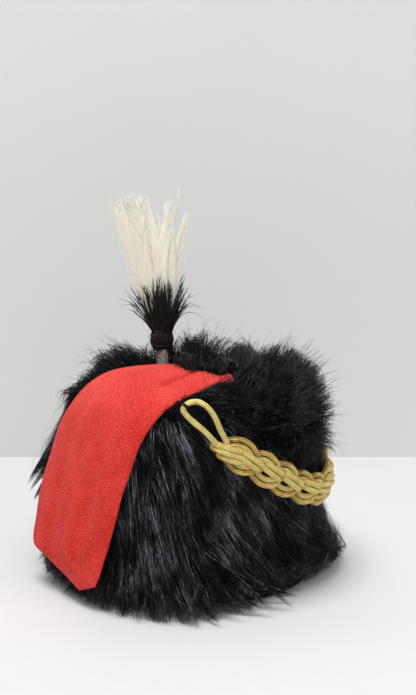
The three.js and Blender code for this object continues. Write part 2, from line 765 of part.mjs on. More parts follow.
// Block that fills one side of a seam, from a corner to the opposite corner.
function seamBlock(from, to) {
  const size = new THREE.Vector3().subVectors(to, from);
  const block = new THREE.BoxGeometry(size.x, size.y, size.z);
  block.translate(...from.clone().addScaledVector(size, 0.5));
  return toSolid(block);
}

function wholeFur(cuts) {
  const pile = toSolid(dome(PILE_PROFILE, PILE_TOP, 0, 0, furPlace));
  const full = fuse([pile, ...furLocks()]);
  const far = FLOOR_CUT.size / 2;
  const ground = seamBlock(
    new THREE.Vector3(-far, -far, -FLOOR_CUT.depth),
    new THREE.Vector3(far, far, 0),
  );
  return [ground, crownInside(GAP), ...cuts].reduce((rest, solid) => rest.subtract(solid), full);
}

// The fur is sewn from three skins: one on the crown and one round each side, which meet at the
// middle of the front and the back.
function furSkins(cuts) {
  const whole = wholeFur(cuts);
  const far = FLOOR_CUT.size / 2;
  const corner = (x, y, z) => new THREE.Vector3(x, y, z);
  const above = CROWN_SEAM + GAP / 2;
  const below = CROWN_SEAM - GAP / 2;
  const blocks = {
    fur_crown: seamBlock(corner(-far, -far, above), corner(far, far, FLOOR_CUT.size)),
    fur_side_right: seamBlock(corner(-far, -far, -1), corner(-GAP / 2, far, below)),
    fur_side_left: seamBlock(corner(GAP / 2, -far, -1), corner(far, far, below)),
  };
  return Object.entries(blocks).map(([name, block]) => [name, mainBody(whole.intersect(block))]);
}

// ---------------------------------------------------------------- assembly
const busby = new THREE.Group();

function add(name, solid, finish) {
  const mesh = new THREE.Mesh(toGeometry(solid), finish);
  mesh.name = name;
  busby.add(mesh);
}

const cloth = bagGrid(BAG_STEPS, BAG_COLUMNS);
const clothHalf = BAG_THICKNESS / 2;
const openFrom = Math.round((BAG_OPEN_ROW / (BAG_ROWS.length - 1)) * BAG_STEPS);
const plaitCurve = routeCurve(PLAIT_ROUTE);
const plaitReach = STRAND_SWING + STRAND_HALF_WIDTH + PRESSED_SIDE;
const plaitDepth = STRAND_WEAVE + STRAND_HALF_THICKNESS + 2 * GAP;
const plaitClearance = plait(plaitCurve, GAP);
const loops = {
  right: loopCurve(PLAIT_ROUTE[0], 1),
  left: loopCurve(PLAIT_ROUTE[PLAIT_ROUTE.length - 1], -1),
};

add("cap_body", capBody(), FINISH.body);
add("bag", bagPlate(cloth, -clothHalf, clothHalf), FINISH.cloth);
add("plume_stem", plumeStem(), FINISH.stem);
add("plume_binding", plumeBinding(), FINISH.thread);
add("plume_hackle", plumeHackle(), FINISH.hackle);
add("plume_feathers", plumeFeathers(), FINISH.feather);
add("festoon_plait", plait(plaitCurve), FINISH.gold);

const furCuts = [
  bagPlate(cloth.slice(0, openFrom + 2), -clothHalf - GAP, clothHalf + GAP, GAP),
  bagPlate(cloth.slice(openFrom), -clothHalf - GAP, FUR_OVER_BAG, GAP),
  pressedBand(plaitCurve, PRESSED_STEPS, plaitReach, plaitDepth, PRESSED_OVER),
  turned(DIMPLE_PROFILE),
];
for (const [side, curve] of Object.entries(loops)) {
  add(`festoon_loop_${side}`, mainBody(cord(curve, CORD / 2).subtract(plaitClearance)), FINISH.gold);
  add(`loop_stitch_${side}`, stitch(curve), FINISH.thread);
  furCuts.push(pressedBand(curve, LOOP_STEPS, CORD / 2 + GAP, CORD / 2 + GAP, PRESSED_OVER));
  furCuts.push(stitch(curve, GAP));
}
for (const [name, skin] of furSkins(furCuts)) add(name, skin, FINISH.fur);

export default busby;
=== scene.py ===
"""A fur busby: long black fur, a red cloth bag, a feather plume and a plaited gold festoon.

Lengths are in millimetres and are turned into metres when a mesh is made. The frame is the
part's own: +Z up, the front faces -Y and the wearer's right is -X.
"""

import math

import bpy
import numpy as np
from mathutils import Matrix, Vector
from mathutils.kdtree import KDTree


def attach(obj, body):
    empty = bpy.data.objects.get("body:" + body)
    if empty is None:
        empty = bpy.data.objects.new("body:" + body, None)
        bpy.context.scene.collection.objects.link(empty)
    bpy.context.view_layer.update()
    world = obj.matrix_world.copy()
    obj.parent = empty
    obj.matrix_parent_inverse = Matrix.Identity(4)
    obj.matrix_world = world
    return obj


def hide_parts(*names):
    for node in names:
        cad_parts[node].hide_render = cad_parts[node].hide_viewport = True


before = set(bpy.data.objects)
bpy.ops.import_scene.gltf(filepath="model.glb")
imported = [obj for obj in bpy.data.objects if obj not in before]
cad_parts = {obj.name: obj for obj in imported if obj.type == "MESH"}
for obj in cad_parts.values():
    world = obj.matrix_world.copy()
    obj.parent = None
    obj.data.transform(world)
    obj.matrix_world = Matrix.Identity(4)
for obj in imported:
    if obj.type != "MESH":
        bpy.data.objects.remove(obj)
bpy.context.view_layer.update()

MM = 0.001
SEED = 20

# ------------------------------------------------------------------ sizes shared with the solids
SIDE_TO_FRONT = 17  # every oval is this much longer to its front than to its side
OVAL_CORE = 60  # ovals smaller than this shrink evenly to the axis
OUTWARD_OVAL = 100  # half-width of the oval that says which way is out of the hat
CORD = 4.6

# Where the fur reaches further than its profile: by, bearing, width, height, tallness.
SPREADS = [(-5, 0, 50, 72, 42), (13, 152, 24, 94, 28)]
# The same at the hem, less and less up to a height: by, bearing, width.
HEM_SWEEPS = [(7, -95, 25), (-13, 24, 30)]
HEM_SWEEP_TOP = 130
HEM_SKEW = (6, 105)  # wider by this along this bearing, and narrower across it
# Where the crown stands higher: by, bearing, width.
MOUNDS = [(9, -30, 38), (7, -130, 50), (-6, 160, 30)]
MOUND_HEIGHTS = (150, 180)  # it begins at the first height and is whole from the second
MOUND_REACH = (35, 75)  # and the same outwards

# The same for the long hair alone, which tufts and parts more than the pelt below it.
HAIR_SPREADS = [(-7, -28, 30, 62, 16), (-6, 152, 18, 136, 20)]
HAIR_SWEEPS = [(-11, -6, 17), (11, 76, 22), (-14, 22, 18), (-4, 122, 18)]
HAIR_MOUNDS = [(8, -101, 20), (8, 190, 12), (-8, 212, 10), (-7, 158, 16), (-15, -66, 13)]
HEM_LIFT = (9, -12, 30)  # how far the hem stands off the ground: by, bearing, width
HEM_LIFT_TOP = 60
PELT = (HEM_SWEEPS, SPREADS, MOUNDS)
HAIR = (HEM_SWEEPS + HAIR_SWEEPS, SPREADS + HAIR_SPREADS, MOUNDS + HAIR_MOUNDS)

# Levels of fur from the hem to the crown: root, belly and tip, each a reach and a height.
FUR_LEVELS = np.array([
    [93, 30, 106, 10, 119, -5],
    [93, 56, 108, 27, 120, -2],
    [90, 92, 106, 62, 115, 18],
    [87, 128, 105, 100, 110, 54],
    [80, 160, 104, 140, 108, 96],
    [66, 162, 92, 168, 104, 156],
    [50, 160, 72, 180, 82, 186],
    [22, 166, 38, 182, 50, 190],
], float)
# The same at the front, where the upper fur stands out as a ball.
BALL_LEVELS = np.array([
    *FUR_LEVELS[:3],
    [88, 124, 100, 120, 111, 112],
    [84, 148, 99, 150, 113, 156],
    [70, 162, 88, 174, 102, 186],
    [50, 164, 64, 184, 74, 200],
    [22, 166, 32, 186, 38, 200],
], float)
BALL_BEARING = -8
BALL_SPAN = (54, 74)  # whole up to one distance round from its bearing, gone at the other
BALL_FROM = (2.1, 3.0)  # levels between which it begins
WHORL = (6, 0.3, 50)  # bearing that the ball's hair turns away from, how much, how far
FUR_LEVEL_SHARE = np.array([0.65, 1.15, 1.2, 1.3, 1.2, 0.8, 0.5])  # of the fur, between two levels
# How far round the hat the hair leans from its root to its tip: by, bearing, width.
LEANS = [(-64, 10, 44), (-14, 62, 30), (6, -75, 30), (5, 150, 40)]
LEAN_WAVES = [(4, 5, 2.1), (3, 11, 3.7)]  # by, waves round the hat, shift from level to level

# How far the fur's mass goes out: reach and height, from the hem to the crown.
ENVELOPE = np.array([
    (117, 0),
    (116, 18),
    (107, 48),
    (105, 84),
    (106, 124),
    (105, 150),
    (98, 168),
    (87, 179),
    (74, 188),
    (58, 194),
    (30, 196),
    (0, 196),
], float)
ENVELOPE_MIDDLE = (45, 90)

# The bag: near edge, far edge and bow of each row, from its tucked end to its hanging end.
BAG_ROWS = np.array([
    [-1, -40, 172.5, 15, -29, 175.5, 0],
    [-14, -38, 173, 15.5, -14, 176.5, 1],
    [-26, -34, 173, 13, 2, 178.5, 3],
    [-42, -31, 172, 8, 24, 180, 5],
    [-58, -28, 170.5, 1, 42, 179.5, 7],
    [-72, -24, 168, -11, 62, 177.5, 9],
    [-85, -20, 163.5, -25, 76, 174, 11],
    [-98, -15, 154.5, -41, 85, 166, 13],
    [-108, -8, 138, -55, 91, 154, 13],
    [-114, -3, 118, -67, 97, 137, 11],
    [-120, 2, 98, -77, 100, 114, 9],
    [-124, 6, 77, -88, 104, 86, 7],
    [-129, 10, 56, -95, 105.5, 58, 6],
    [-131, 13, 45, -100, 105.5, 36, 5],
    [-132.5, 15, 37, -105.5, 90, 28.5, 4],
    [-133.5, 17, 30, -117.5, 62, 20.5, 2],
    [-134.5, 20, 22.5, -129, 39, 14, 0],
], float)
BAG_THICKNESS = 2.6
BAG_STEPS = 150
BAG_COLUMNS = 44
BOW_EVENED = 9  # steps along the bag over which its bow is evened out
EDGE_CROWDING = 0.35  # how much closer the columns stand to its two long edges
# Its long folds: depth, turns from edge to edge in radians, their start, and how they wander.
FOLDS = [(1.3, 15.7, 0.6, 1), (0.7, 31, 2.1, -2)]
FOLDS_SPAN = (0.42, 0.7, 0.82, 0.97)  # where along it they begin, are whole, fade and end
RIPPLE = 0.3
# Its crease: share of the bag's length, and share of its width.
CREASE = [(0.1, 0.72), (0.12, 0.687), (0.167, 0.5), (0.22, 0.365), (0.3, 0.262), (0.4, 0.2)]
CREASE_SPAN = (0.09, 0.13, 0.29, 0.36)
CREASE_WIDTH = 0.04
CREASE_DEPTH = 2.0
# How squarely the cloth is rounded at its edges, and how much of its thickness is left there.
LONG_EDGES = (10, 0.12)
SHORT_EDGES = (60, 0.3)

# The plait: bearing, height and reach of its middle.
PLAIT_ROUTE = [
    (60, 142, 108),
    (50, 134, 107),
    (40, 122, 105.5),
    (30, 110.5, 104),
    (20, 99.5, 103),
    (10, 92.3, 103),
    (0, 88.8, 103),
    (-10, 88.8, 103),
    (-20, 90.5, 102.6),
    (-30, 96, 102),
    (-40, 104.5, 101.6),
    (-51, 117, 103),
    (-62, 135, 106.5),
]
PLAIT_POINTS = 420  # along its middle
# A stitch of the plait has three strands, each of two cords side by side. Their middle lines
# are given by how far along they are in stitches, how far down in half-widths, and how far out.
STITCHES = 9
STITCH = 22.8
FIRST_STITCH = 16
HALF_WIDTH = 7.9
UPPER_STRAND = [
    (-0.14, -0.3, -2.8),
    (0.06, -0.8, -0.6),
    (0.42, -1.16, 1.0),
    (0.78, -0.94, 1.8),
    (1.04, -0.44, 0.8),
    (1.18, 0.0, -2.8),
]
LOWER_STRAND = [
    (0.04, 0.4, -2.8),
    (0.24, 0.9, -0.6),
    (0.6, 1.18, 1.0),
    (0.94, 0.92, 2.0),
    (1.18, 0.42, 0.8),
    (1.32, 0.0, -2.8),
]
MIDDLE_STRAND = [
    (0.36, -0.3, -2.0),
    (0.54, -0.26, 2.4),
    (0.92, -0.12, 4.6),
    (1.3, 0.04, 2.6),
    (1.48, 0.14, -2.0),
]
# The three strands, and how much deeper the upper (below 0) or lower cord of each pair lies.
STITCH_STRANDS = [(UPPER_STRAND, -1.1), (LOWER_STRAND, 0.8), (MIDDLE_STRAND, 0.0)]
# The two strands that turn back at each end of the plait.
END_STRANDS = [
    [
        (-0.5, 0.02, 0.5),
        (-0.28, 0.0, 2.6),
        (0.0, -0.04, 3.8),
        (0.35, -0.1, 3.2),
        (0.6, -0.16, -1.5),
    ],
    [(-0.2, 0.6, 0.0), (0.0, 0.58, 1.8), (0.36, 0.46, 2.8), (0.7, 0.26, 1.4), (0.9, 0.14, -2)],
]
STRAND_STRAY = (0.03, 0.05, 0.3)  # how far a strand is off its place: along, down and out
STRAND_POINTS = 44
CORD_SIDES = 12
CORDS_APART = (0.42, 0.14)  # half of it in cords: at the ends of a pair, and more at its middle
TURN_APART = 0.49  # the same where one cord turns back
TURN_POINTS = (12, 110)  # in the turn, and along the whole cord
# the painted shade in the hollows of the plait is whole at the first of these heights and gone at
# the second
PLAIT_SUNK = (-0.5, 4.6)  # heights out of the plait's middle that count as deep and as its top

# A loop beyond each end of the plait: which way it goes round, and where it leaves from.
LOOPS = {"right": (1, 55.5, 141), "left": (-1, -62, 135)}
# Its course: bearing and height from where it leaves, and reach.
LOOP_ROUTE = [
    (-1.4, -7, 105),
    (-0.6, -3.5, 108),
    (1.4, 0.5, 108.5),
    (6, 11, 108),
    (12.6, 22.5, 105.5),
    (14.4, 27.5, 103.5),
    (13, 31.5, 100.6),
    (9, 32.8, 98),
    (5.2, 29.5, 101),
    (2.4, 22.5, 105),
    (0.4, 13, 107.8),
    (-2, 2.5, 108.5),
    (-3, -6, 108),
    (-3.6, -10, 105),
]
LOOP_POINTS = 160
LOOP_SIDES = 14
# The black thread round each loop: where along it, turns, points, and half its span.
STITCH_AT = 0.45
STITCH_TURNS = 3
STITCH_POINTS = 90
STITCH_SPAN = 1.2
STITCH_WAVER = 0.25
STITCH_OUT = 0.35  # how far outside the cord the middle of the thread is
THREAD_RADIUS = 0.5
THREAD_SIDES = 6

# The plume.
PLUME_FOOT = np.array([30.0, 50.0])
PLUME_FACING = 62
STEM_PROFILE = [(5.4, 162), (5.8, 168), (6.1, 174), (5.6, 180), (5.4, 186), (6.0, 190.5)]
STEM_SIDES = 32
STEM_TOP = 190
BINDING_TOP = 206


# ------------------------------------------------------------------ hat coordinates
def degrees_from(middle, bearing):
    """Degrees round the hat from one bearing to another, at most half of the way round."""
    return (bearing - middle + 180) % 360 - 180


def near(bearing, middle, width):
    """1 at a bearing, falling off to nothing over a width to both sides."""
    return np.exp(-((degrees_from(middle, bearing) / width) ** 2))


def bumps(bearing, rows):
    """The sum of rows that say by how much, at which bearing and how wide."""
    return sum(by * near(bearing, middle, width) for by, middle, width in rows)


def smoothstep(value, low, high):
    share = np.clip((value - low) / (high - low), 0, 1)
    return share * share * (3 - 2 * share)


def falling(value, low, high):
    return 1 - smoothstep(value, low, high)


def window(value, low, whole, fading, high):
    """1 between the two middle values, and 0 beyond the outer ones."""
    return smoothstep(value, low, whole) * falling(value, fading, high)


def alike(*values):
    """Values as arrays of one shape."""
    return np.broadcast_arrays(*(np.asarray(value, float) for value in values))


def unit(vectors):
    length = np.linalg.norm(vectors, axis=-1, keepdims=True)
    return vectors / np.maximum(length, 1e-9)


def place(reach, bearing, height):
    """Point at a half-width, bearing round the hat and height. Bearing 0 is the front."""
    reach, bearing, height = alike(reach, bearing, height)
    turn = np.radians(bearing)
    length = reach + SIDE_TO_FRONT * np.minimum(1, reach / OVAL_CORE)
    return np.stack([-reach * np.sin(turn), -length * np.cos(turn), height], axis=-1)


def outward(points):
    """Horizontal directions out of the hat."""
    front = OUTWARD_OVAL + SIDE_TO_FRONT
    return unit(points * [1 / OUTWARD_OVAL**2, 1 / front**2, 0])


def spread(skin, bearing, height):
    """How far a skin of fur reaches beyond its ovals."""
    sweeps, spreads, _ = skin
    low = np.clip(1 - height / HEM_SWEEP_TOP, 0, 1)
    total = HEM_SKEW[0] * np.cos(2 * np.radians(bearing - HEM_SKEW[1])) * low
    for by, middle, width in sweeps:
        total = total + by * near(bearing, middle, width) * low
    for by, middle, width, level, tallness in spreads:
        span = np.exp(-(((height - level) / tallness) ** 2))
        total = total + by * near(bearing, middle, width) * span
    return total


def fur_place(skin, reach, bearing, height):
    """A place on a skin of fur, whose ovals are spread and mounded."""
    rise = smoothstep(height, *MOUND_HEIGHTS) * bumps(bearing, skin[2])
    rise = rise * smoothstep(reach, *MOUND_REACH)
    return place(reach + spread(skin, bearing, height), bearing, height + rise)


def hem_lift(bearing, height):
    """How far the hem stands off the ground, where it is lifted."""
    return bumps(bearing, [HEM_LIFT]) * np.clip(1 - height / HEM_LIFT_TOP, 0, 1)


# ------------------------------------------------------------------ curves
CURVE_STEPS = 24  # fine points for each point that a smooth curve is given


def hermite(points, slopes, row, u, width=1):
    """Points at shares u of the way from rows to the next ones, on a curve with given slopes."""
    return (
        (2 * u**3 - 3 * u**2 + 1) * points[row]
        + (u**3 - 2 * u**2 + u) * width * slopes[row]
        + (3 * u**2 - 2 * u**3) * points[row + 1]
        + (u**3 - u**2) * width * slopes[row + 1]
    )


def lengths_along(line):
    return np.concatenate([[0], np.cumsum(np.linalg.norm(np.diff(line, axis=0), axis=1))])


def between(at, values, line):
    """Points of a line at numbers between those that belong to its own points."""
    return np.stack([np.interp(at, values, line[:, axis]) for axis in range(3)], axis=1)


def evenly(line, count):
    """count points, evenly spaced along a fine line."""
    length = lengths_along(line)
    return between(np.linspace(0, length[-1], count), length, line)


def smooth_curve(points, count):
    """count points, evenly spaced along a smooth curve through the given points."""
    points = np.asarray(points, float)
    steps = np.sqrt(np.linalg.norm(np.diff(points, axis=0), axis=1))
    knots = np.concatenate([[0], np.cumsum(steps)])
    slopes = np.gradient(points, knots, axis=0)
    at = np.linspace(0, knots[-1], CURVE_STEPS * len(points))
    row = np.clip(np.searchsorted(knots, at) - 1, 0, len(points) - 2)
    width = (knots[row + 1] - knots[row])[:, None]
    return evenly(hermite(points, slopes, row, (at - knots[row])[:, None] / width, width), count)


def bezier(points, share):
    """Points on curves from the first of some points to the last, for shares in the last axis."""
    share = share[..., None]
    degree = len(points) - 1
    curve = 0
    for i, point in enumerate(points):
        weight = math.comb(degree, i) * (1 - share) ** (degree - i) * share**i
        curve = curve + weight * point[..., None, :]
    return curve


# ------------------------------------------------------------------ meshes
def add_object(name, data):
    thing = bpy.data.objects.new(name, data)
    bpy.context.scene.collection.objects.link(thing)
    return thing


def make_piece(name, surface, material, slot, *replaced):
    """A mesh object in the frame, riding on the one body, from points, triangles and values."""
    points, triangles, values = surface
    mesh = bpy.data.meshes.new(name)
    triangles = np.asarray(triangles, np.int32)
    mesh.vertices.add(len(points))
    mesh.vertices.foreach_set("co", (np.asarray(points) * MM).astype(np.float32).ravel())
    mesh.loops.add(triangles.size)
    mesh.loops.foreach_set("vertex_index", triangles.ravel())
    mesh.polygons.add(len(triangles))
    mesh.polygons.foreach_set("loop_start", np.arange(0, triangles.size, 3, dtype=np.int32))
    mesh.polygons.foreach_set("use_smooth", np.ones(len(triangles), bool))
    for key, numbers in values.items():
        attribute = mesh.attributes.new(key, "FLOAT", "POINT")
        attribute.data.foreach_set("value", np.asarray(numbers, np.float32).ravel())
    mesh.update(calc_edges=True)
    mesh.validate()
    mesh.materials.append(material)
    piece = add_object(name, mesh)
    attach(piece, "root")
    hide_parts(*replaced)
    return piece


def merged(parts):
    """One set of points, triangles and values from several."""
    points, triangles, values, start = [], [], {}, 0
    for part_points, part_triangles, part_values in parts:
        points.append(part_points)
        triangles.append(np.asarray(part_triangles) + start)
        start += len(part_points)
        for key, numbers in part_values.items():
            values.setdefault(key, []).append(numbers)
    joined = {key: np.concatenate(numbers) for key, numbers in values.items()}
    return np.concatenate(points), np.concatenate(triangles), joined


def ring_faces(grid):
    """Triangles round a grid of points whose rows are closed, and the numbers of its points."""
    index = np.arange(grid.shape[0] * grid.shape[1]).reshape(grid.shape[:2])
    following = np.roll(index, -1, axis=1)
    first = np.stack([index[:-1], following[:-1], following[1:]], axis=-1).reshape(-1, 3)
    second = np.stack([index[:-1], following[1:], index[1:]], axis=-1).reshape(-1, 3)
    return np.concatenate([first, second]), index, following


def closed_rings(grid, ends):
    """A closed surface round a grid of points, with one more point at each of its two ends."""
    triangles, index, following = ring_faces(grid)
    caps = []
    for side in range(index.shape[1]):
        caps.append([index.size, following[0, side], index[0, side]])
        caps.append([index.size + 1, index[-1, side], following[-1, side]])
    return np.concatenate([grid.reshape(-1, 3), ends]), np.concatenate([triangles, caps])


def closed_sheet(grid):
    """A closed surface round a flat grid of points, whose ends are closed from front to back."""
    triangles, index, _ = ring_faces(grid)
    rows, sides = index.shape
    caps = []
    for row, order in ((0, -1), (rows - 1, 1)):
        for i in range(sides // 2 - 1):
            a, b = index[row, i], index[row, i + 1]
            c, d = index[row, sides - 2 - i], index[row, sides - 1 - i]
            caps += [[a, b, c][::order], [a, c, d][::order]]
    points = grid.reshape(-1, 3)
    return points, outwards(points, np.concatenate([triangles, caps]))


def outwards(points, triangles):
    """Triangles of a closed surface, turned over if they face inwards."""
    a, b, c = (points[triangles[:, i]] for i in range(3))
    return triangles if np.sum(a * np.cross(b, c)) > 0 else triangles[:, ::-1]


def tapered_strands(paths, radii, shades, rng):
    """Closed three-sided strands that end in a point: paths is (strands, points, 3)."""
    count, steps, _ = paths.shape
    rows = steps - 1
    radii = np.broadcast_to(radii, (count, steps))
    tangents = unit(np.gradient(paths, axis=1))
    aside = unit(np.cross(tangents, rng.normal(size=(count, 1, 3)) + 1e-3))
    upright = np.cross(tangents, aside)
    turn = np.radians([90, 210, 330])[:, None]
    ring = aside[:, :rows, None, :] * np.cos(turn) + upright[:, :rows, None, :] * np.sin(turn)
    around = paths[:, :rows, None, :] + ring * radii[:, :rows, None, None]
    points = np.concatenate([around.reshape(count, rows * 3, 3), paths[:, -1:, :]], axis=1)
    faces = [[0, 2, 1]]
    for row in range(rows):
        for side in range(3):
            a, b = row * 3 + side, row * 3 + (side + 1) % 3
            faces += [[a, b, b + 3], [a, b + 3, a + 3]] if row < rows - 1 else [[a, b, rows * 3]]
    each = rows * 3 + 1
    triangles = np.array(faces)[None] + (np.arange(count) * each)[:, None, None]
    along = np.append(np.repeat(np.arange(rows) / rows, 3), 1.0)
    values = {"shade": np.repeat(shades, each), "along": np.tile(along, count)}
    return points.reshape(-1, 3), triangles.reshape(-1, 3), values


def square_to(tangents, out):
    """Directions out, turned until they are square to a line's tangents."""
    return unit(out - tangents * np.sum(out * tangents, axis=1, keepdims=True))


def tube(line, radius, sides, out=None):
    """Closed tube along a line. Its values are the length along it and the turn round it."""
    tangents = unit(np.gradient(line, axis=0))
    if out is None:
        out = np.zeros_like(line)
        guess = np.array([0.3, 0.2, 1.0])
        for i, tangent in enumerate(tangents):
            guess = guess - tangent * (guess @ tangent)
            guess /= np.linalg.norm(guess)
            out[i] = guess
    out = square_to(tangents, out)
    aside = np.cross(tangents, out)
    turn = np.arange(sides) * 2 * np.pi / sides
    ring = aside[:, None, :] * np.cos(turn)[:, None] + out[:, None, :] * np.sin(turn)[:, None]
    length = lengths_along(line)
    values = {
        "length": np.append(np.repeat(length, sides), [length[0], length[-1]]),
        "turn": np.append(np.tile(turn / (2 * np.pi), len(line)), [0, 0]),
    }
    return *closed_rings(line[:, None, :] + ring * radius, line[[0, -1]]), values


def turned(profile, sides):
    """Solid of revolution about the plume's stem, from a profile of half-width and height."""
    reach, height = np.asarray(profile, float).T
    turn = np.arange(sides) * 2 * np.pi / sides
    ends = [[*PLUME_FOOT, height[0]], [*PLUME_FOOT, height[-1]]]
    return *closed_rings(round_stem(reach[:, None], turn, height[:, None]), ends), {}


def round_stem(reach, turn, height):
    """Points round the plume's stem."""
    reach, turn, height = alike(reach, turn, height)
    x, y = PLUME_FOOT
    return np.stack([x + reach * np.cos(turn), y + reach * np.sin(turn), height], axis=-1)


# ------------------------------------------------------------------ materials
class Nodes:
    """Short names for the nodes of one material."""

    def __init__(self, name, roughness, **uniform):
        self.material = bpy.data.materials.new(name)
        self.material.use_nodes = True
        self.tree = self.material.node_tree
        self.shader = self.tree.nodes["Principled BSDF"]
        self.shader.inputs["Roughness"].default_value = roughness
        for key, value in uniform.items():
            self.shader.inputs[key.replace("_", " ")].default_value = value

    def add(self, kind, inputs=(), **settings):
        node = self.tree.nodes.new(kind)
        for key, value in settings.items():
            setattr(node, key, value)
        for key, value in dict(inputs).items():
            if isinstance(value, bpy.types.NodeSocket):
                self.tree.links.new(value, node.inputs[key])
            else:
                node.inputs[key].default_value = value
        return node

    def feed(self, name, socket):
        self.tree.links.new(socket, self.shader.inputs[name])

    def value(self, name):
        return self.add("ShaderNodeAttribute", attribute_name=name).outputs["Fac"]

    def here(self):
        return self.add("ShaderNodeTexCoord").outputs["Object"]

    def noise(self, scale, detail=3.0, vector=None, roughness=0.55):
        inputs = {"Scale": scale, "Detail": detail, "Roughness": roughness}
        inputs["Vector"] = vector or self.here()
        return self.add("ShaderNodeTexNoise", inputs).outputs["Fac"]

    def stretched(self, scale):
        """Object coordinates, scaled by a different number along each axis."""
        mapping = self.add("ShaderNodeMapping", {"Vector": self.here(), "Scale": scale})
        return mapping.outputs["Vector"]

    def math(self, operation, first, second=0.5, third=0.5):
        node = self.add("ShaderNodeMath", {0: first, 1: second, 2: third}, operation=operation)
        return node.outputs[0]

    def ranged(self, factor, to_low, to_high, low=0.0, high=1.0):
        """A factor's range from low to high, made to run between two other values."""
        inputs = {"From Min": low, "From Max": high, "To Min": to_low, "To Max": to_high}
        return self.add("ShaderNodeMapRange", {"Value": factor, **inputs}).outputs["Result"]

    def colour(self, factor, stops):
        """A colour by a factor, from stops that each give a factor, red, green and blue."""
        node = self.add("ShaderNodeValToRGB", {"Fac": factor})
        ramp = node.color_ramp
        while len(ramp.elements) < len(stops):
            ramp.elements.new(0.5)
        for element, (position, *colour) in zip(ramp.elements, stops):
            element.position = position
            element.color = (*colour, 1)
        return node.outputs["Color"]

    def base(self, factor, stops):
        self.feed("Base Color", self.colour(factor, stops))

    def bump(self, height, distance, strength=1.0):
        inputs = {"Height": height, "Distance": distance, "Strength": strength}
        self.feed("Normal", self.add("ShaderNodeBump", inputs).outputs["Normal"])


def fur_material():
    look = Nodes("fur_black", 0.42, Specular_IOR_Level=0.4)
    # each strand's shade: random tone, with painted glints, painted light and painted shade worked
    # in
    shade = look.value("shade")
    along = look.value("along")
    # painted shade and light along each strand: darkest at its root, lightest from near its middle,
    # dimmer at its tip
    stops = [(0.0, 0.2, 0.2, 0.2), (0.4, 1, 1, 1), (1.0, 0.6, 0.6, 0.6)]
    tone = look.math("MULTIPLY", shade, look.colour(along, stops))
    # painted glints: short lengths of neighbouring hairs are painted lighter, in patches, where
    # light would catch them
    broad = look.noise(60.0, 2.0, look.stretched((1.0, 1.0, 0.6)))
    fine = look.noise(420.0, 2.0, look.stretched((1.0, 1.0, 0.25)))
    patch = look.ranged(broad, 0.35, 1.5, 0.36, 0.62)
    painted_glints = look.ranged(fine, 0.35, 1.7, 0.36, 0.64)
    tone = look.math("MULTIPLY", tone, look.math("MULTIPLY", patch, painted_glints))
    stops = [
        (0.0, 0.003, 0.0031, 0.0036),
        (0.12, 0.0165, 0.017, 0.0195),
        (0.4, 0.11, 0.115, 0.133),
        (0.9, 0.42, 0.43, 0.48),
    ]
    look.base(tone, stops)
    look.feed("Roughness", look.ranged(shade, 0.5, 0.34))
    look.feed("Specular IOR Level", look.ranged(tone, 0.1, 0.8))
    return look.material


def underfur_material():
    look = Nodes("fur_under", 0.9, Specular_IOR_Level=0.1)
    fleck = look.noise(900.0)
    look.base(fleck, [(0.3, 0.0015, 0.0015, 0.0018), (0.8, 0.006, 0.006, 0.007)])
    look.bump(fleck, 0.002)
    return look.material


def felt_material():
    look = Nodes("felt_red", 0.93, Specular_IOR_Level=0.15, Sheen_Weight=0.1, Sheen_Roughness=0.5)
    broad = look.noise(28.0, 4.0)
    fine = look.noise(1150.0, 4.0, roughness=0.8)
    mix = look.math("MULTIPLY_ADD", fine, 0.85, look.math("MULTIPLY", broad, 0.15))
    # painted light and shade: the cloth is painted lighter on top, where the light falls, and
    # painted darker in its crease
    height = look.add("ShaderNodeSeparateXYZ", {"Vector": look.here()}).outputs["Z"]
    mix = look.math("ADD", mix, look.ranged(height, 0.0, 0.034, 0.150, 0.176))
    mix = look.math("MULTIPLY_ADD", look.value("crease_shade"), -0.07, mix)
    stops = [
        (0.42, 0.50, 0.010, 0.007),
        (0.5, 0.77, 0.022, 0.014),
        (0.6, 1.0, 0.11, 0.082),
    ]
    look.base(mix, stops)
    fibre = look.noise(2600.0, 2.0)
    look.bump(look.math("ADD", fine, fibre), 0.0009, 0.8)
    return look.material


def gold_material():
    look = Nodes("gimp_gold", 0.4, Metallic=0.45, Specular_IOR_Level=0.8)
    length = look.value("length")
    turn = look.value("turn")
    sunk_shade = look.value("sunk_shade")
    spiral = look.math("MULTIPLY_ADD", length, 0.05, look.math("MULTIPLY", turn, 9.0))
    wrap = look.math("SINE", look.math("MULTIPLY", spiral, 2 * math.pi))
    patch = look.ranged(look.noise(200.0, 2.0), 0.42, 0.58, 0.3, 0.7)
    worn = look.math("MULTIPLY_ADD", wrap, 0.15, patch)
    # painted shade where the cords lie deep between the strands
    tone = look.math("MULTIPLY_ADD", sunk_shade, -0.25, worn)
    stops = [
        (0.12, 0.10, 0.05, 0.012),
        (0.3, 0.72, 0.42, 0.07),
        (0.48, 1.0, 0.77, 0.2),
        (0.66, 1.0, 0.95, 0.44),
    ]
    look.base(tone, stops)
    look.feed("Roughness", look.ranged(patch, 0.3, 0.44))
    look.bump(wrap, 0.0006, 0.8)
    return look.material


def feather_material():
    sheen = {"Sheen_Weight": 1.0, "Sheen_Roughness": 0.6}
    look = Nodes("feather_white", 0.62, Specular_IOR_Level=0.3, **sheen)
    shade = look.value("shade")
    streak = look.noise(90.0, 3.0, look.stretched((5.0, 5.0, 0.5)))
    tone = look.math("MULTIPLY_ADD", shade, 0.5, look.math("MULTIPLY", streak, 0.5))
    stops = [
        (0.2, 0.90, 0.86, 0.64),
        (0.5, 0.97, 0.94, 0.77),
        (0.8, 0.99, 0.98, 0.92),
    ]
    look.base(tone, stops)
    return look.material


def hackle_material():
    look = Nodes("hackle_black", 0.5, Specular_IOR_Level=0.4)
    shade = look.value("shade")
    look.base(shade, [(0.0, 0.0045, 0.0045, 0.005), (1.0, 0.026, 0.026, 0.029)])
    return look.material


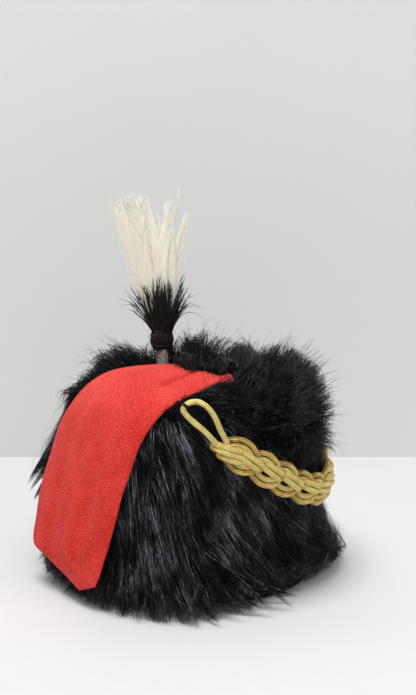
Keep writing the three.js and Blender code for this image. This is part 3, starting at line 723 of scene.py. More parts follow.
def thread_material():
    look = Nodes("thread_black", 0.5, Specular_IOR_Level=0.5)
    twist = look.math("SINE", look.math("MULTIPLY", look.value("length"), 9.0))
    # painted glints along the thread, over its twist
    tone = look.math("MULTIPLY_ADD", look.value("painted_gleam"), 0.7, look.math("MULTIPLY", twist, 0.3))
    stops = [(0.0, 0.002, 0.002, 0.002), (0.3, 0.012, 0.012, 0.013), (1.0, 0.35, 0.34, 0.34)]
    look.base(tone, stops)
    look.bump(twist, 0.0002, 0.5)
    return look.material


def stem_material():
    look = Nodes("stem_tan", 0.55, Specular_IOR_Level=0.4)
    grain = look.noise(240.0, 4.0, look.stretched((1.0, 1.0, 0.15)))
    stops = [(0.3, 0.45, 0.33, 0.25), (0.5, 0.68, 0.56, 0.45), (0.75, 0.88, 0.8, 0.72)]
    look.base(grain, stops)
    look.bump(grain, 0.0008, 0.5)
    return look.material


def leather_material():
    look = Nodes("body_leather", 0.6, Specular_IOR_Level=0.4)
    cells = look.add("ShaderNodeTexVoronoi", {"Vector": look.here(), "Scale": 520.0})
    grain = cells.outputs["Distance"]
    patch = look.noise(30.0, 4.0)
    look.base(patch, [(0.3, 0.012, 0.010, 0.009), (0.7, 0.035, 0.029, 0.025)])
    look.feed("Roughness", look.ranged(patch, 0.5, 0.75))
    look.bump(grain, 0.0006, 0.6)
    return look.material


FUR = fur_material()
UNDERFUR = underfur_material()
FELT = felt_material()
GOLD = gold_material()
FEATHER = feather_material()
HACKLE = hackle_material()
THREAD = thread_material()
STEM = stem_material()
LEATHER = leather_material()


# ------------------------------------------------------------------ bag
def bag_surface(steps, columns):
    """Middle surface of the bag: points and normals on a grid of rows along it."""
    near_edge = rail(BAG_ROWS[:, 0:3], steps + 1)
    far_edge = rail(BAG_ROWS[:, 3:6], steps + 1)
    share = np.linspace(0, 1, steps + 1)
    bow = np.interp(share * (len(BAG_ROWS) - 1), np.arange(len(BAG_ROWS)), BAG_ROWS[:, 6])
    bow = np.pad(bow, BOW_EVENED // 2, mode="edge")
    bow = np.convolve(bow, np.ones(BOW_EVENED) / BOW_EVENED, mode="valid")
    across = far_edge - near_edge
    out = unit(np.cross(across, np.gradient(near_edge + far_edge, axis=0)))
    even = np.linspace(0, 1, columns + 1)
    side = EDGE_CROWDING * (0.5 - 0.5 * np.cos(even * np.pi)) + (1 - EDGE_CROWDING) * even
    lift = 4 * bow[:, None] * side * (1 - side) + bag_folds(share[:, None], side[None, :])
    points = near_edge[:, None, :] + across[:, None, :] * side[None, :, None]
    points = points + out[:, None, :] * lift[..., None]
    normals = unit(np.cross(np.gradient(points, axis=1), np.gradient(points, axis=0)))
    return points, normals, share, side


def rail(points, count):
    """An edge of the bag, with even steps from row to row."""
    rows = np.linspace(0, len(points) - 1, count)
    row = np.clip(rows.astype(int), 0, len(points) - 2)
    return hermite(points, np.gradient(points, axis=0), row, (rows - row)[:, None])


def bag_folds(share, side):
    """How far the cloth stands out of its smooth surface."""
    wander = 0.5 * np.sin(share * 9.0)
    folds = sum(
        depth * np.sin(side * turns + start + drift * wander)
        for depth, turns, start, drift in FOLDS
    )
    ripple = np.sin(share * 26 + side * 7) * np.sin(side * 11 + 1)
    hanging = window(share, *FOLDS_SPAN) * folds + RIPPLE * ripple
    return (hanging - CREASE_DEPTH * bag_crease(share, side)) * np.sin(side * np.pi)


def bag_crease(share, side):
    """1 in the crease across the top of the bag, 0 away from it."""
    crease_at = np.interp(share, *np.array(CREASE).T)
    return np.exp(-(((side - crease_at) / CREASE_WIDTH) ** 2)) * window(share, *CREASE_SPAN)


def rounded(share, power, least):
    """Share of the thickness that is left between two rounded edges."""
    return np.maximum(np.sqrt(np.clip(1 - np.abs(2 * share - 1) ** power, 0, 1)), least)


def bag_shell():
    points, normals, share, side = bag_surface(BAG_STEPS, BAG_COLUMNS)
    half = BAG_THICKNESS / 2 * rounded(side, *LONG_EDGES) * rounded(share, *SHORT_EDGES)[:, None]
    outer = points + normals * half[..., None]
    inner = points - normals * half[..., None]
    # where the cloth is painted darker, as shade in its crease
    crease_shade = bag_crease(share[:, None], side[None, :])
    values = {"crease_shade": np.concatenate([crease_shade, crease_shade[:, ::-1]], axis=1).ravel()}
    return *closed_sheet(np.concatenate([outer, inner[:, ::-1]], axis=1)), values


# ------------------------------------------------------------------ festoon
def on_hat(line):
    """Tangents, directions across and directions out of the hat along a line."""
    tangents = unit(np.gradient(line, axis=0))
    out = square_to(tangents, outward(line))
    return tangents, np.cross(tangents, out), out


def kd_tree(points):
    tree = KDTree(len(points))
    for i, point in enumerate(points):
        tree.insert(point, i)
    tree.balance()
    return tree


def nearest(tree, points):
    """For each point, the number of the tree's point that is nearest to it."""
    return np.array([tree.find(point)[1] for point in points], int)


def route(rows, count):
    return smooth_curve([place(reach, bearing, height) for bearing, height, reach in rows], count)


plait_line = route(PLAIT_ROUTE, PLAIT_POINTS)
plait_length = np.linalg.norm(np.diff(plait_line, axis=0), axis=1).sum()
plait_tree = kd_tree(plait_line)


def on_plait(along, down, out):
    """Points by the length along the plait, and how far below and out of its middle they are."""
    _, below, outwards_here = on_hat(plait_line)
    at = along / plait_length * (PLAIT_POINTS - 1)
    middle, below, outside = (
        between(at, np.arange(PLAIT_POINTS), line) for line in (plait_line, below, outwards_here)
    )
    return middle + below * down[:, None] + outside * out[:, None]


def strand_line(rng, rows, stitch, backwards=False):
    """Middle line of a strand of one stitch, a little off its place."""
    along, down, out = np.array(rows).T
    off = rng.normal(size=3) * STRAND_STRAY
    length = FIRST_STITCH + (stitch + along + off[0]) * STITCH
    if backwards:
        length = plait_length - length
    points = on_plait(length, (down + off[1]) * HALF_WIDTH, out + off[2])
    return smooth_curve(points, STRAND_POINTS)


def cord_pair(line, drop):
    """Two cords side by side along a line; the lower or upper one may lie deeper."""
    _, across, out = on_hat(line)
    least, more = CORDS_APART
    spacing = CORD * (least + more * np.sin(np.linspace(0, np.pi, len(line))))[:, None]
    parts = []
    for side in (-1, 1):
        deeper = max(0, side * drop)
        parts.append(shaded_cord(line + across * side * spacing - out * deeper, out))
    return parts


def shaded_cord(cord, out):
    """A cord of the plait, which knows how deep in the plait each part of it lies, for the painted
    shade there.
    """
    points, triangles, values = tube(cord, CORD / 2, CORD_SIDES, out)
    return points, triangles, {**values, "sunk_shade": plait_sunk_shade(points)}


def plait_sunk_shade(points):
    """Painted shade: 1 for places sunk between the strands of the plait, falling to 0 on their
    crowns.
    """
    found = nearest(plait_tree, points)
    _, _, out = on_hat(plait_line)
    return falling(np.sum((points - plait_line[found]) * out[found], axis=1), *PLAIT_SUNK)


def turned_back(line):
    """One cord that runs along a line, turns round before its start and runs back."""
    tangents, across, _ = on_hat(line)
    turn_points, points = TURN_POINTS
    turn = np.linspace(0, np.pi, turn_points)[1:-1, None]
    bend = line[0] + CORD * TURN_APART * (across[0] * np.cos(turn) - tangents[0] * np.sin(turn))
    beside = across * CORD * TURN_APART
    cord = evenly(np.concatenate([(line + beside)[::-1], bend, line - beside]), points)
    return shaded_cord(cord, outward(cord))


def plait_parts():
    rng = np.random.default_rng(SEED + 2)
    parts = []
    for stitch in range(STITCHES):
        for rows, drop in STITCH_STRANDS:
            parts += cord_pair(strand_line(rng, rows, stitch), drop)
    for rows in END_STRANDS:
        for backwards in (False, True):
            parts.append(turned_back(strand_line(rng, rows, 0, backwards)))
    return parts


def loop_line(name):
    side, bearing, height = LOOPS[name]
    rows = [(bearing + side * turn, height + rise, reach) for turn, rise, reach in LOOP_ROUTE]
    return route(rows, LOOP_POINTS)


def stitch_thread(line):
    """Turns of black thread round a cord."""
    at = int(STITCH_AT * (len(line) - 1))
    tangent = unit(line[at + 1] - line[at - 1])
    aside = unit(np.cross(tangent, outward(line[at][None])[0]))
    upright = np.cross(aside, tangent)
    turn = np.linspace(0, 2 * np.pi * STITCH_TURNS, STITCH_POINTS)
    ring = np.cos(turn)[:, None] * aside + np.sin(turn)[:, None] * upright
    along = np.linspace(-STITCH_SPAN, STITCH_SPAN, STITCH_POINTS)
    along = along + STITCH_WAVER * np.sin(turn * 2)
    thread = line[at] + (CORD / 2 + STITCH_OUT) * ring + tangent * along[:, None]
    return tube(thread, THREAD_RADIUS, THREAD_SIDES)


# ------------------------------------------------------------------ what the fur keeps clear of
BESIDE_BAG = 25  # the bag presses the fur this far beside it
BESIDE_BAG_SLOPE = 1.6
BESIDE_TAIL = 42  # in front of its tucked end it presses it further and flatter
BESIDE_TAIL_SLOPE = 0.2
TAIL_SHARES = (0.045, 0.2)
OPEN_SHARE = 0.02  # the bag is on the fur from this share of its length
PRESS_GRID = (110, 40)  # steps along the bag and across it
BAG_CLEAR = 1.0  # between the fur and the cloth
BESIDE_LINE = 22
BESIDE_LINE_SLOPE = 1.4
LINE_END = 3  # how far a line presses beyond its end
PLAIT_PRESS = (13.6, 6.0)  # half-width of what presses, and how deep it lies in the fur
LOOP_PRESS = (2.6, 2.6)
GRID_GAP = 2.2  # what is nearer than this to a point of the bag is under the bag


class Pressed:
    """Surfaces and lines that lie on the fur and press it down."""

    def __init__(self):
        points, normals, share, side = bag_surface(*PRESS_GRID)
        open_rows = share > OPEN_SHARE
        row_share = share[open_rows, None]
        in_tail = (row_share > TAIL_SHARES[0]) & (row_share < TAIL_SHARES[1])
        tail = (in_tail & (side[None, :] < 0.5)).ravel()
        self.bag_slope = np.where(tail, BESIDE_TAIL_SLOPE, BESIDE_BAG_SLOPE)
        self.bag_beside = np.where(tail, BESIDE_TAIL, BESIDE_BAG)
        self.bag_points = points[open_rows].reshape(-1, 3)
        self.bag_normals = normals[open_rows].reshape(-1, 3)
        self.bag_tree = kd_tree(self.bag_points)
        lines = [(plait_line, PLAIT_PRESS), *((loop_line(name), LOOP_PRESS) for name in LOOPS)]
        rows = []
        for line, sizes in lines:
            _, across, out = on_hat(line)
            rows.append(np.hstack([line, across, out, np.tile(sizes, (len(line), 1))]))
        rows = np.concatenate(rows)
        self.line_points, self.line_across, self.line_out = rows[:, 0:3], rows[:, 3:6], rows[:, 6:9]
        self.line_width, self.line_depth = rows[:, 9], rows[:, 10]
        self.line_tree = kd_tree(self.line_points)

    def under_bag(self, points, deeper):
        """Points moved in so that none stands through the cloth, and which are under it."""
        found = nearest(self.bag_tree, points)
        apart = points - self.bag_points[found]
        normals = self.bag_normals[found]
        above = np.sum(apart * normals, axis=1)
        beside = np.linalg.norm(apart - normals * above[:, None], axis=1)
        rise = self.bag_slope[found] * np.maximum(0, beside - GRID_GAP)
        limit = rise - (BAG_THICKNESS / 2 + BAG_CLEAR + deeper)
        over = np.where(beside < self.bag_beside[found], np.maximum(0, above - limit), 0)
        return points - normals * over[:, None], beside < GRID_GAP

    def under_lines(self, points, deeper):
        found = nearest(self.line_tree, points)
        apart = points - self.line_points[found]
        out = self.line_out[found]
        above = np.sum(apart * out, axis=1)
        across = np.abs(np.sum(apart * self.line_across[found], axis=1))
        flat = apart - out * above[:, None] - self.line_across[found] * across[:, None]
        beyond = np.linalg.norm(flat, axis=1) - across - LINE_END
        beside = np.maximum(0, across - self.line_width[found]) + np.maximum(0, beyond)
        limit = BESIDE_LINE_SLOPE * beside - self.line_depth[found] - deeper
        over = np.where(beside < BESIDE_LINE, np.maximum(0, above - limit), 0)
        return points - out * over[:, None]

    def press(self, points, deeper=0.0):
        """Points, of any shape, kept under the bag and the cords; and which are under the bag."""
        flat, hidden = self.under_bag(points.reshape(-1, 3), deeper)
        flat = self.under_lines(flat, deeper)
        return flat.reshape(points.shape), hidden.reshape(points.shape[:-1])


# ------------------------------------------------------------------ fur
STRAND_SHARES = np.array([0.0, 0.36, 0.72, 1.0])
STRAND_TAPER = np.array([0.9, 1.0, 0.66, 0.0])
STRAND_RADIUS = 0.225
# painted light in the ball's hair: fewer painted glints, and all of it painted lighter against the
# shade it lies in
BALL_MATTE = 0.9  # how much less the hair of the ball varies
BALL_PAINTED_LIFT = 0.13  # how much lighter all of it is
# painted shade on the crown's hair, which faces the light from above, and painted light on the
# side's hair, where it catches the light
TOP_PAINTED_DARKER = 0.9
SIDE_PAINTED_LIGHTER = 0.45
SIDE_LEVELS = (1.8, 2.6, 4.2, 4.8)  # levels where the side begins, is whole, fades and ends
STRAY_DARKER = 0.45
TOP_COMBED = 0.6  # how much less the hair of the crown bends
HEM_COMBED = 0.6  # and that of the hem
HEM_LEVELS = (0.8, 2.6)  # hair belongs to the hem at the first level, and not from the second
HEM_PULL = 0.92  # how far the hair of the hem gathers into pointed locks, round the hat
HEM_GATHER = 0.8  # and along itself
HEM_LONGER = 0.6  # how much longer the longest of these locks are
CLUMPS = 4450
STRANDS_A_CLUMP = 9
CLUMP_LENGTH = (0.8, 1.06)
CLUMP_DEPTH = (-9, 3)  # how far out of its level's middle a clump lies
CLUMP_LEAN = 3.5  # degrees that clumps differ in their lean
TIP_STRAY = (2.0, 3.0)  # how far their tips differ, out and up
STRAND_LENGTH = (0.12, 0.7, 1.12)  # how much it varies in a clump, shortest and longest
SCATTER = (3.6, 4.6, 2.2)  # of a clump's strands: round the hat, up and out
STRAY_SHARE = 0.14  # of the clumps, which stand out of the others as pointed locks
STRAY_LONGER = 0.14
STRAY_ROOM = (5, 15)
HEM_GATHERED = 0.93  # how closely the strands of a clump meet at its tip
STRAY_GATHERED = 0.96
BEND = 6.5  # how far the tips of clumps go to one side
SWERVE = 2.2  # and their middles
LEAST_GIRTH = 12
LEAST_REACH = 4
FLOOR_GAP = 0.6  # fur lies this high or higher
FLOOR_PILE = 2.0  # how deep it piles up on the ground
# Round the plume no strand stands higher than PLUME_ABOVE: half-width that is kept clear, and
# how much wider it gets for each millimetre above a height.
PLUME_CLEAR = (9, 0.12, 170)
PLUME_ABOVE = 165


def contained(reach, height, room):
    """Places beyond the envelope drawn in, to less than some room outside it."""
    middle_reach, middle_height = ENVELOPE_MIDDLE
    edge = (ENVELOPE - ENVELOPE_MIDDLE).T
    out, up = reach - middle_reach, height - middle_height
    limit = np.interp(np.arctan2(up, out), np.arctan2(edge[1], edge[0]), np.hypot(*edge))
    away = np.hypot(out, up)
    beyond = np.maximum(0, away - limit)
    drawn_in = (limit + room * (1 - np.exp(-beyond / room))) / np.maximum(away, 1)
    scale = np.where(beyond > 0, drawn_in, 1)
    return middle_reach + out * scale, middle_height + up * scale


def fur_rows(level, bearing):
    """Root, belly and tip of hair at a level and bearing, and how far it belongs to the ball."""
    row = np.minimum(level.astype(int), len(FUR_LEVELS) - 2)
    mix = (level - row)[:, None]
    body = FUR_LEVELS[row] * (1 - mix) + FUR_LEVELS[row + 1] * mix
    ball = BALL_LEVELS[row] * (1 - mix) + BALL_LEVELS[row + 1] * mix
    weight = falling(np.abs(degrees_from(BALL_BEARING, bearing)), *BALL_SPAN)
    weight = weight * smoothstep(level, *BALL_FROM)
    values = body + (ball - body) * weight[:, None]
    return values[:, 0:2], values[:, 2:4], values[:, 4:6], weight


def fur_lean(level, bearing, ball):
    """How far round the hat the hair goes from its root to its tip, in degrees."""
    middle, share, most = WHORL
    whorl = share * np.clip(degrees_from(middle, bearing), -most, most)
    turn = np.radians(bearing)
    waves = sum(by * np.sin(turn * many + level * shift) for by, many, shift in LEAN_WAVES)
    return bumps(bearing, LEANS) * (1 - ball) + whorl * ball + waves


class Tufts:
    """Locks that neighbouring clumps of hair gather into, in rows round the hat."""

    per_level = 2
    rows = 16
    across = 72

    def __init__(self, rng):
        size = (self.rows, self.across)
        self.pull = rng.uniform(0.35, 0.85, size)
        self.length = rng.uniform(0.8, 1.22, size)
        self.lean = rng.normal(size=size) * 4
        self.shade = rng.uniform(0.3, 1.0, size)
        self.room = rng.random(size) ** 2
        self.offset = rng.random(self.rows)
        self.lift = rng.uniform(0.1, 1.6, size)

    def of(self, level, bearing):
        """Row and column of each clump's tuft, and how far round its middle is."""
        row = np.floor(level * self.per_level).astype(int)
        # the rows hold fewer tufts towards the crown
        columns = np.where(level < 5, 56, np.where(level < 6, 34, 18))
        place_in_row = bearing / 360 * columns + self.offset[row]
        column = np.floor(place_in_row).astype(int)
        apart = (column + 0.5 - place_in_row) * 360 / columns
        return row, column % self.across, apart


def fur_guides(rng, tufts, count):
    """Level, bearing, curve, lean, ball share and tuft of each clump."""
    share = FUR_LEVEL_SHARE / FUR_LEVEL_SHARE.sum()
    level = rng.choice(len(share), count, p=share) + rng.random(count)
    bearing = rng.random(count) * 360
    root, belly, tip, ball = fur_rows(level, bearing)
    row, column, apart = tufts.of(level, bearing)
    tuft = (row, column)
    low = falling(level, *HEM_LEVELS)
    tuft_length = tufts.length[tuft] * (1 + HEM_LONGER * low * tufts.room[tuft])
    length = rng.uniform(*CLUMP_LENGTH, count) * tuft_length
    tip = root + (tip - root) * length[:, None]
    tuft_root, _, tuft_tip, _ = fur_rows((row + 0.5) / tufts.per_level, bearing + apart)
    tuft_tip = tuft_root + (tuft_tip - tuft_root) * tuft_length[:, None]
    depth = rng.uniform(*CLUMP_DEPTH, count)[:, None] * (1 - 0.5 * low[:, None])
    belly = belly + depth * [1.0, 0.1]
    tip = tip + depth * [1.1, 0.1] + rng.normal(size=(count, 2)) * TIP_STRAY
    tip = tip + HEM_GATHER * low[:, None] * (tuft_tip - tip)
    control = 2 * belly - 0.5 * root - 0.5 * tip
    pull = tufts.pull[tuft] * (1 - low) + HEM_PULL * low
    gather = apart * pull * (1 - 0.5 * ball)
    lean = fur_lean(level, bearing, ball) * np.minimum(length, 1.2) + tufts.lean[tuft] + gather
    lean = lean + CLUMP_LEAN * rng.normal(size=count)
    return level, bearing, (root, control, tip), lean, ball, tuft


def fur_paths(rng, tufts):
    """Level, points and shade of every strand of the fur."""
    level, bearing, curve, lean, ball, tuft = fur_guides(rng, tufts, CLUMPS)
    count = CLUMPS * STRANDS_A_CLUMP
    of = np.repeat(np.arange(CLUMPS), STRANDS_A_CLUMP)
    stray = rng.random(CLUMPS) < STRAY_SHARE
    varied, shortest, longest = STRAND_LENGTH
    grown = (1 + varied * rng.normal(size=count)).clip(shortest, longest)
    share = STRAND_SHARES[None, :] * (grown * (1 + STRAY_LONGER * stray[of]))[:, None]
    path = bezier([points[of] for points in curve], share)
    girth = np.maximum(path[..., 0] + SIDE_TO_FRONT / 2, LEAST_GIRTH)
    # the strands of a clump meet towards its tip
    gathered = (0.7 + 0.2 * rng.random(count)) * (1 - 0.55 * ball[of])
    gathered = np.maximum(gathered, HEM_GATHERED * falling(level, 1.2, 2.4)[of])
    gathered = np.where(stray[of], STRAY_GATHERED, gathered)
    loose = 1 - gathered[:, None] * STRAND_SHARES**1.3
    scatter = rng.normal(size=(count, 3)) * SCATTER
    # clumps bend to one side or the other, and strands curl
    wild = 1 - TOP_COMBED * smoothstep(level, 4.2, 5.2) * (1 - ball)
    wild = wild * (1 - HEM_COMBED * falling(level, 1.0, 2.4))
    bend = (wild * BEND * rng.normal(size=CLUMPS))[of][:, None] * STRAND_SHARES**2
    swerve = (wild * SWERVE * rng.normal(size=CLUMPS))[of][:, None]
    swerve = swerve * np.sin(STRAND_SHARES * np.pi)
    curl = rng.normal(size=(count, 1)) * (1.8 + 3 * ball[of][:, None]) * STRAND_SHARES**2
    aside = scatter[:, 0:1] * loose + curl * (1 - 0.6 * stray[of][:, None]) + bend + swerve
    around = bearing[of][:, None] + lean[of][:, None] * share + np.degrees(aside / girth)
    reach = np.maximum(path[..., 0] + scatter[:, 2:3] * loose, LEAST_REACH)
    height = path[..., 1] + scatter[:, 1:2] * loose
    # what would reach into the ground lies on it and spreads outwards
    floor = FLOOR_GAP + FLOOR_PILE * rng.random(count)[:, None] * (1 - 0.7 * STRAND_SHARES)
    below = np.maximum(0, floor - height)
    low = falling(level, 1.0, 3.0)
    room = 1 + (6 + 9 * low) * tufts.room[tuft] + 3 * (1 - 0.7 * low) * rng.random(CLUMPS)
    room = room + stray * rng.uniform(*STRAY_ROOM, CLUMPS)
    room = (room[of] + 1.5 * rng.random(count))[:, None]
    reach, height = contained(reach + 0.8 * below, np.maximum(height, floor), room)
    points = fur_place(HAIR, reach, around, height)
    points[..., 2] += hem_lift(around, height) * tufts.lift[tuft][of][:, None]
    points[..., 2] = np.maximum(points[..., 2], floor)
    # shade of each tuft, clump and strand: random tone with a bright tail of painted glints,
    # painted darker on the crown, and painted lighter on the side and the ball
    shade = tufts.shade[tuft] * rng.uniform(0.3, 1.0, CLUMPS) * (1 - BALL_MATTE * ball)
    shade = shade * (1 - TOP_PAINTED_DARKER * smoothstep(level, 4.0, 5.0) * (1 - ball))
    shade = shade * (1 + SIDE_PAINTED_LIGHTER * (window(level, *SIDE_LEVELS) * (1 - ball)))
    shade = shade * (1 - STRAY_DARKER * stray)
    return level[of], points, 1.2 * rng.random(count) ** 1.8 * shade[of] + BALL_PAINTED_LIFT * ball[of]


def fur_strands(rng, tufts, pressed):
    """Level, points, radii and shade of the strands that are neither hidden nor in the plume."""
    level, paths, shades = fur_paths(rng, tufts)
    paths, hidden = pressed.press(paths)
    paths[..., 2] = np.maximum(paths[..., 2], FLOOR_GAP)
    width, wider, wider_from = PLUME_CLEAR
    foot = np.linalg.norm(paths[..., 0:2] - PLUME_FOOT, axis=2)
    clear = width + wider * np.maximum(0, paths[..., 2] - wider_from)
    in_plume = ((foot < clear) & (paths[..., 2] > PLUME_ABOVE)).any(axis=1)
    keep = ~hidden[:, 1:].all(axis=1) & ~in_plume
    level, paths, shades = level[keep], paths[keep], shades[keep]
    thick = STRAND_RADIUS * (1 + 0.25 * rng.normal(size=len(paths))).clip(0.6, 1.5)
    return level, paths, thick[:, None] * STRAND_TAPER, shades


# Long locks that stand well out of the fur: bearing, reach and height of the root and of the tip.
LONG_LOCKS = [
    (151, 92, 116, 148, 138, 75),
    (148, 92, 108, 147, 136, 71),
    (145, 92, 100, 145, 132, 64),
    (154, 92, 112, 150, 136, 80),
    (157, 92, 118, 153, 131, 86),
    (143, 92, 92, 141, 127, 56),
    (149, 92, 96, 149, 133, 60),
]
LONG_LOCK_WIDTH = 4.2
LONG_LOCK_STRANDS = 70
HEM_LOCKS = 96  # shorter locks all round the hem
HEM_LOCK_WIDTH = 2.1
HEM_LOCK_STRANDS = 28
HEM_LOCK_ROOT = (94, 16, 40)  # reach, lowest and highest
HEM_LOCK_REACH = (113, 130)
HEM_LOCKS_OUT = [(5, 118, 26), (5, -50, 30), (8, 4, 22)]  # by, bearing, width
LOCK_TAPER = 0.26 * np.array([1, 1, 0.9, 0.6, 0])


def hem_lock_rows(rng):
    """Bearing, reach and height of the roots and tips of the locks round the hem."""
    count = HEM_LOCKS
    bearing = (np.arange(count) + rng.uniform(-0.6, 0.6, count)) * 360 / count
    reach, lowest, highest = HEM_LOCK_ROOT
    height = rng.uniform(lowest, highest, count)
    tip_height = 1 + 6 * rng.random(count) ** 2
    tip_height = tip_height + 0.3 * hem_lift(bearing, 0) * rng.random(count)
    lean = 0.5 * bumps(bearing, LEANS) + 2.5 * rng.normal(size=count)
    reach = reach + spread(HAIR, bearing, height)
    low, high = HEM_LOCK_REACH
    tip_reach = low + (high - low) * rng.random(count) + spread(HAIR, bearing, tip_height)
    tip_reach = tip_reach + bumps(bearing, HEM_LOCKS_OUT)
    return np.stack([bearing, reach, height, bearing + lean, tip_reach, tip_height], axis=1)


def locks_of(rng, rows, strands, width):
    """Pointed locks of hair, which are some degrees wide at their roots."""
    count = len(rows) * strands
    each = np.repeat(rows, strands, axis=0).T[..., None]
    bearing, reach, height, to_bearing, to_reach, to_height = each
    short = rng.random((count, 1)) ** 2 * 0.45
    share = np.linspace(0, 1, len(LOCK_TAPER))[None, :]
    loose = 1 - 0.86 * share**0.8
    along = share * (1 - short)
    scatter = rng.normal(size=(count, 3, 1))
    around = bearing + (to_bearing - bearing) * along + width * scatter[:, 0] * loose
    out = reach + (to_reach - reach) * along**0.75 + 2.0 * scatter[:, 1] * loose
    up = height + (to_height - height) * along**1.4 + 6.0 * scatter[:, 2] * loose
    points = place(out, around, np.maximum(up, FLOOR_GAP))
    return tapered_strands(points, LOCK_TAPER, 0.5 * rng.random(count) ** 2, rng)


GUARD_HAIRS = 2700
GUARD_SHARES = np.array([0.0, 0.4, 0.75, 1.0])
GUARD_TAPER = 0.17 * np.array([1.0, 0.9, 0.6, 0.0])
GUARD_ROOM = (8, 20)


def guard_hairs(rng, tufts, pressed):
    """Long fine hairs that stand out of the fur."""
    count = GUARD_HAIRS
    _, bearing, (root, control, tip), lean, _, _ = fur_guides(rng, tufts, count)
    high = np.clip((root[:, 1:] - 60) / 50, 0, 1)
    grow = 1.1 + (0.35 + 0.45 * high) * rng.random((count, 1))
    tip = root + (tip - root) * grow + rng.normal(size=(count, 2)) * [4, 5]
    share = GUARD_SHARES
    path = bezier([root, control, tip], share)
    around = bearing[:, None] + lean[:, None] * share + rng.normal(size=(count, 1)) * 6 * share**2
    height = np.maximum(path[..., 1], FLOOR_GAP)
    room = rng.uniform(*GUARD_ROOM, (count, 1)) + 10 * high
    reach, height = contained(path[..., 0] + 0.7 * (height - path[..., 1]), height, room)
    points = fur_place(HAIR, reach, around, height)
    points[..., 2] += hem_lift(around, height)
    points, _ = pressed.press(points)
    points[..., 2] = np.maximum(points[..., 2], FLOOR_GAP)
    return tapered_strands(points, GUARD_TAPER, 0.45 * rng.random(count) ** 2, rng)


# Where the hair that lies over the tucked end of the bag stops: share of the bag's length, and
# how far from its near edge.
OVER_BAG = [
    (0.0, 1.0),
    (0.03, 0.92),
    (0.055, 0.6),
    (0.085, 0.36),
    (0.115, 0.42),
    (0.135, 0.62),
    (0.15, 0.62),
    (0.175, 0.46),
    (0.2, 0.46),
]
# How far along the bag that hair drifts from its root to its tip, by the share of its root.
OVER_BAG_DRIFT = [(0.0, -0.012), (0.11, 0.0), (0.165, 0.024)]
OVER_BAG_HAIRS = 2900
OVER_BAG_LOCKS = 130
OVER_BAG_SHARES = (-0.01, 0.172)  # of the bag's length, where the locks have their roots
OVER_BAG_ARCH = (5, 15)
OVER_BAG_STRAY = (6, 6, 2.5)
OVER_BAG_TAPER = np.array([1.0, 0.95, 0.85, 0.6, 0.0])
OVER_BAG_RADIUS = 0.29
CROSSING_HAIRS = 22
CROSSING_RADIUS = 0.3


def over_bag_hairs(rng):
    """Hair that arches over the far edge of the tucked end of the bag, in ragged locks."""
    points, normals, _, side = bag_surface(BAG_STEPS, BAG_COLUMNS)
    count, locks = OVER_BAG_HAIRS, OVER_BAG_LOCKS
    lock_share = rng.uniform(*OVER_BAG_SHARES, locks)
    lock_drift = np.interp(lock_share, *np.array(OVER_BAG_DRIFT).T) + rng.normal(size=locks) * 0.01
    lock_end = np.interp(lock_share + lock_drift, *np.array(OVER_BAG).T)
    lock_end = lock_end + 0.05 * rng.normal(size=locks)
    lock_height = rng.uniform(*OVER_BAG_ARCH, locks)
    lock_stray = rng.normal(size=(locks, 3)) * OVER_BAG_STRAY
    lock = rng.integers(locks, size=count)
    end = lock_end[lock] + 0.16 * rng.random(count) ** 1.3
    crossing = np.arange(count) < CROSSING_HAIRS
    end = np.where(crossing, rng.uniform(-0.02, 0.25, count), end)
    share = lock_share[lock] + 0.01 * rng.normal(size=count)
    share = np.where(crossing, rng.uniform(0.05, 0.15, count), share)
    drift = lock_drift[lock] + np.where(crossing, 0.045, 0.008) * rng.normal(size=count)

    def on_cloth(part_share, across, rise):
        row = np.round(np.clip(part_share, 0, 1) * BAG_STEPS).astype(int)
        column = np.round(np.interp(np.clip(across, 0, 1), side, np.arange(len(side)))).astype(int)
        return points[row, column] + normals[row, column] * rise[:, None]

    edge = on_cloth(share, np.ones(count), np.zeros(count))
    beside = on_cloth(share, np.full(count, 0.8), np.zeros(count))
    root = edge + unit(edge - beside) * rng.uniform(1, 12, count)[:, None] - [0, 0, 4.0]
    arch = lock_height[lock] * rng.uniform(0.6, 1.2, count) * np.where(crossing, 0.35, 1)
    first = on_cloth(share + 0.2 * drift, np.ones(count), 1.4 * arch) + lock_stray[lock]
    second = on_cloth(share + 0.8 * drift, 1 - 0.75 * (1 - end), 0.8 * arch + 2.0)
    tip = on_cloth(share + drift, end, rng.uniform(0.9, 2.0, count))
    paths = bezier([root, first, second, tip], np.linspace(0, 1, len(OVER_BAG_TAPER)))
    thick = np.where(crossing, CROSSING_RADIUS, OVER_BAG_RADIUS)[:, None]
    # painted shade: these hairs lie flat, facing the light from above, and are painted darker than
    # the rest of the fur
    shades = np.where(crossing, 0.0, 0.3) * rng.random(count) ** 2
    return tapered_strands(paths, thick * OVER_BAG_TAPER, shades, rng)


# The dense pile below the strands: reach and height, up its outside and down its inside.
UNDERFUR_OUTSIDE = [
    (88, 2.5),
    (91, 6),
    (92.5, 20),
    (91, 48),
    (90, 84),
    (90, 124),
    (88, 146),
    (80, 161),
    (66, 169),
    (44, 171.5),
    (20, 171.5),
]
UNDERFUR_INSIDE = [
    (12, 168.4),
    (42, 165.8),
    (67.8, 158.8),
    (80.8, 142),
    (84.8, 115),
    (85.8, 60),
    (85.8, 1.5),
]
UNDERFUR_CROWN = [(0, 0, 168.6), (0, 0, 171.5)]
UNDERFUR_SIDES = 96
UNDERFUR_ROUGH = 1.2
UNDERFUR_DEEPER = 2.2  # how much deeper than the fur it is pressed


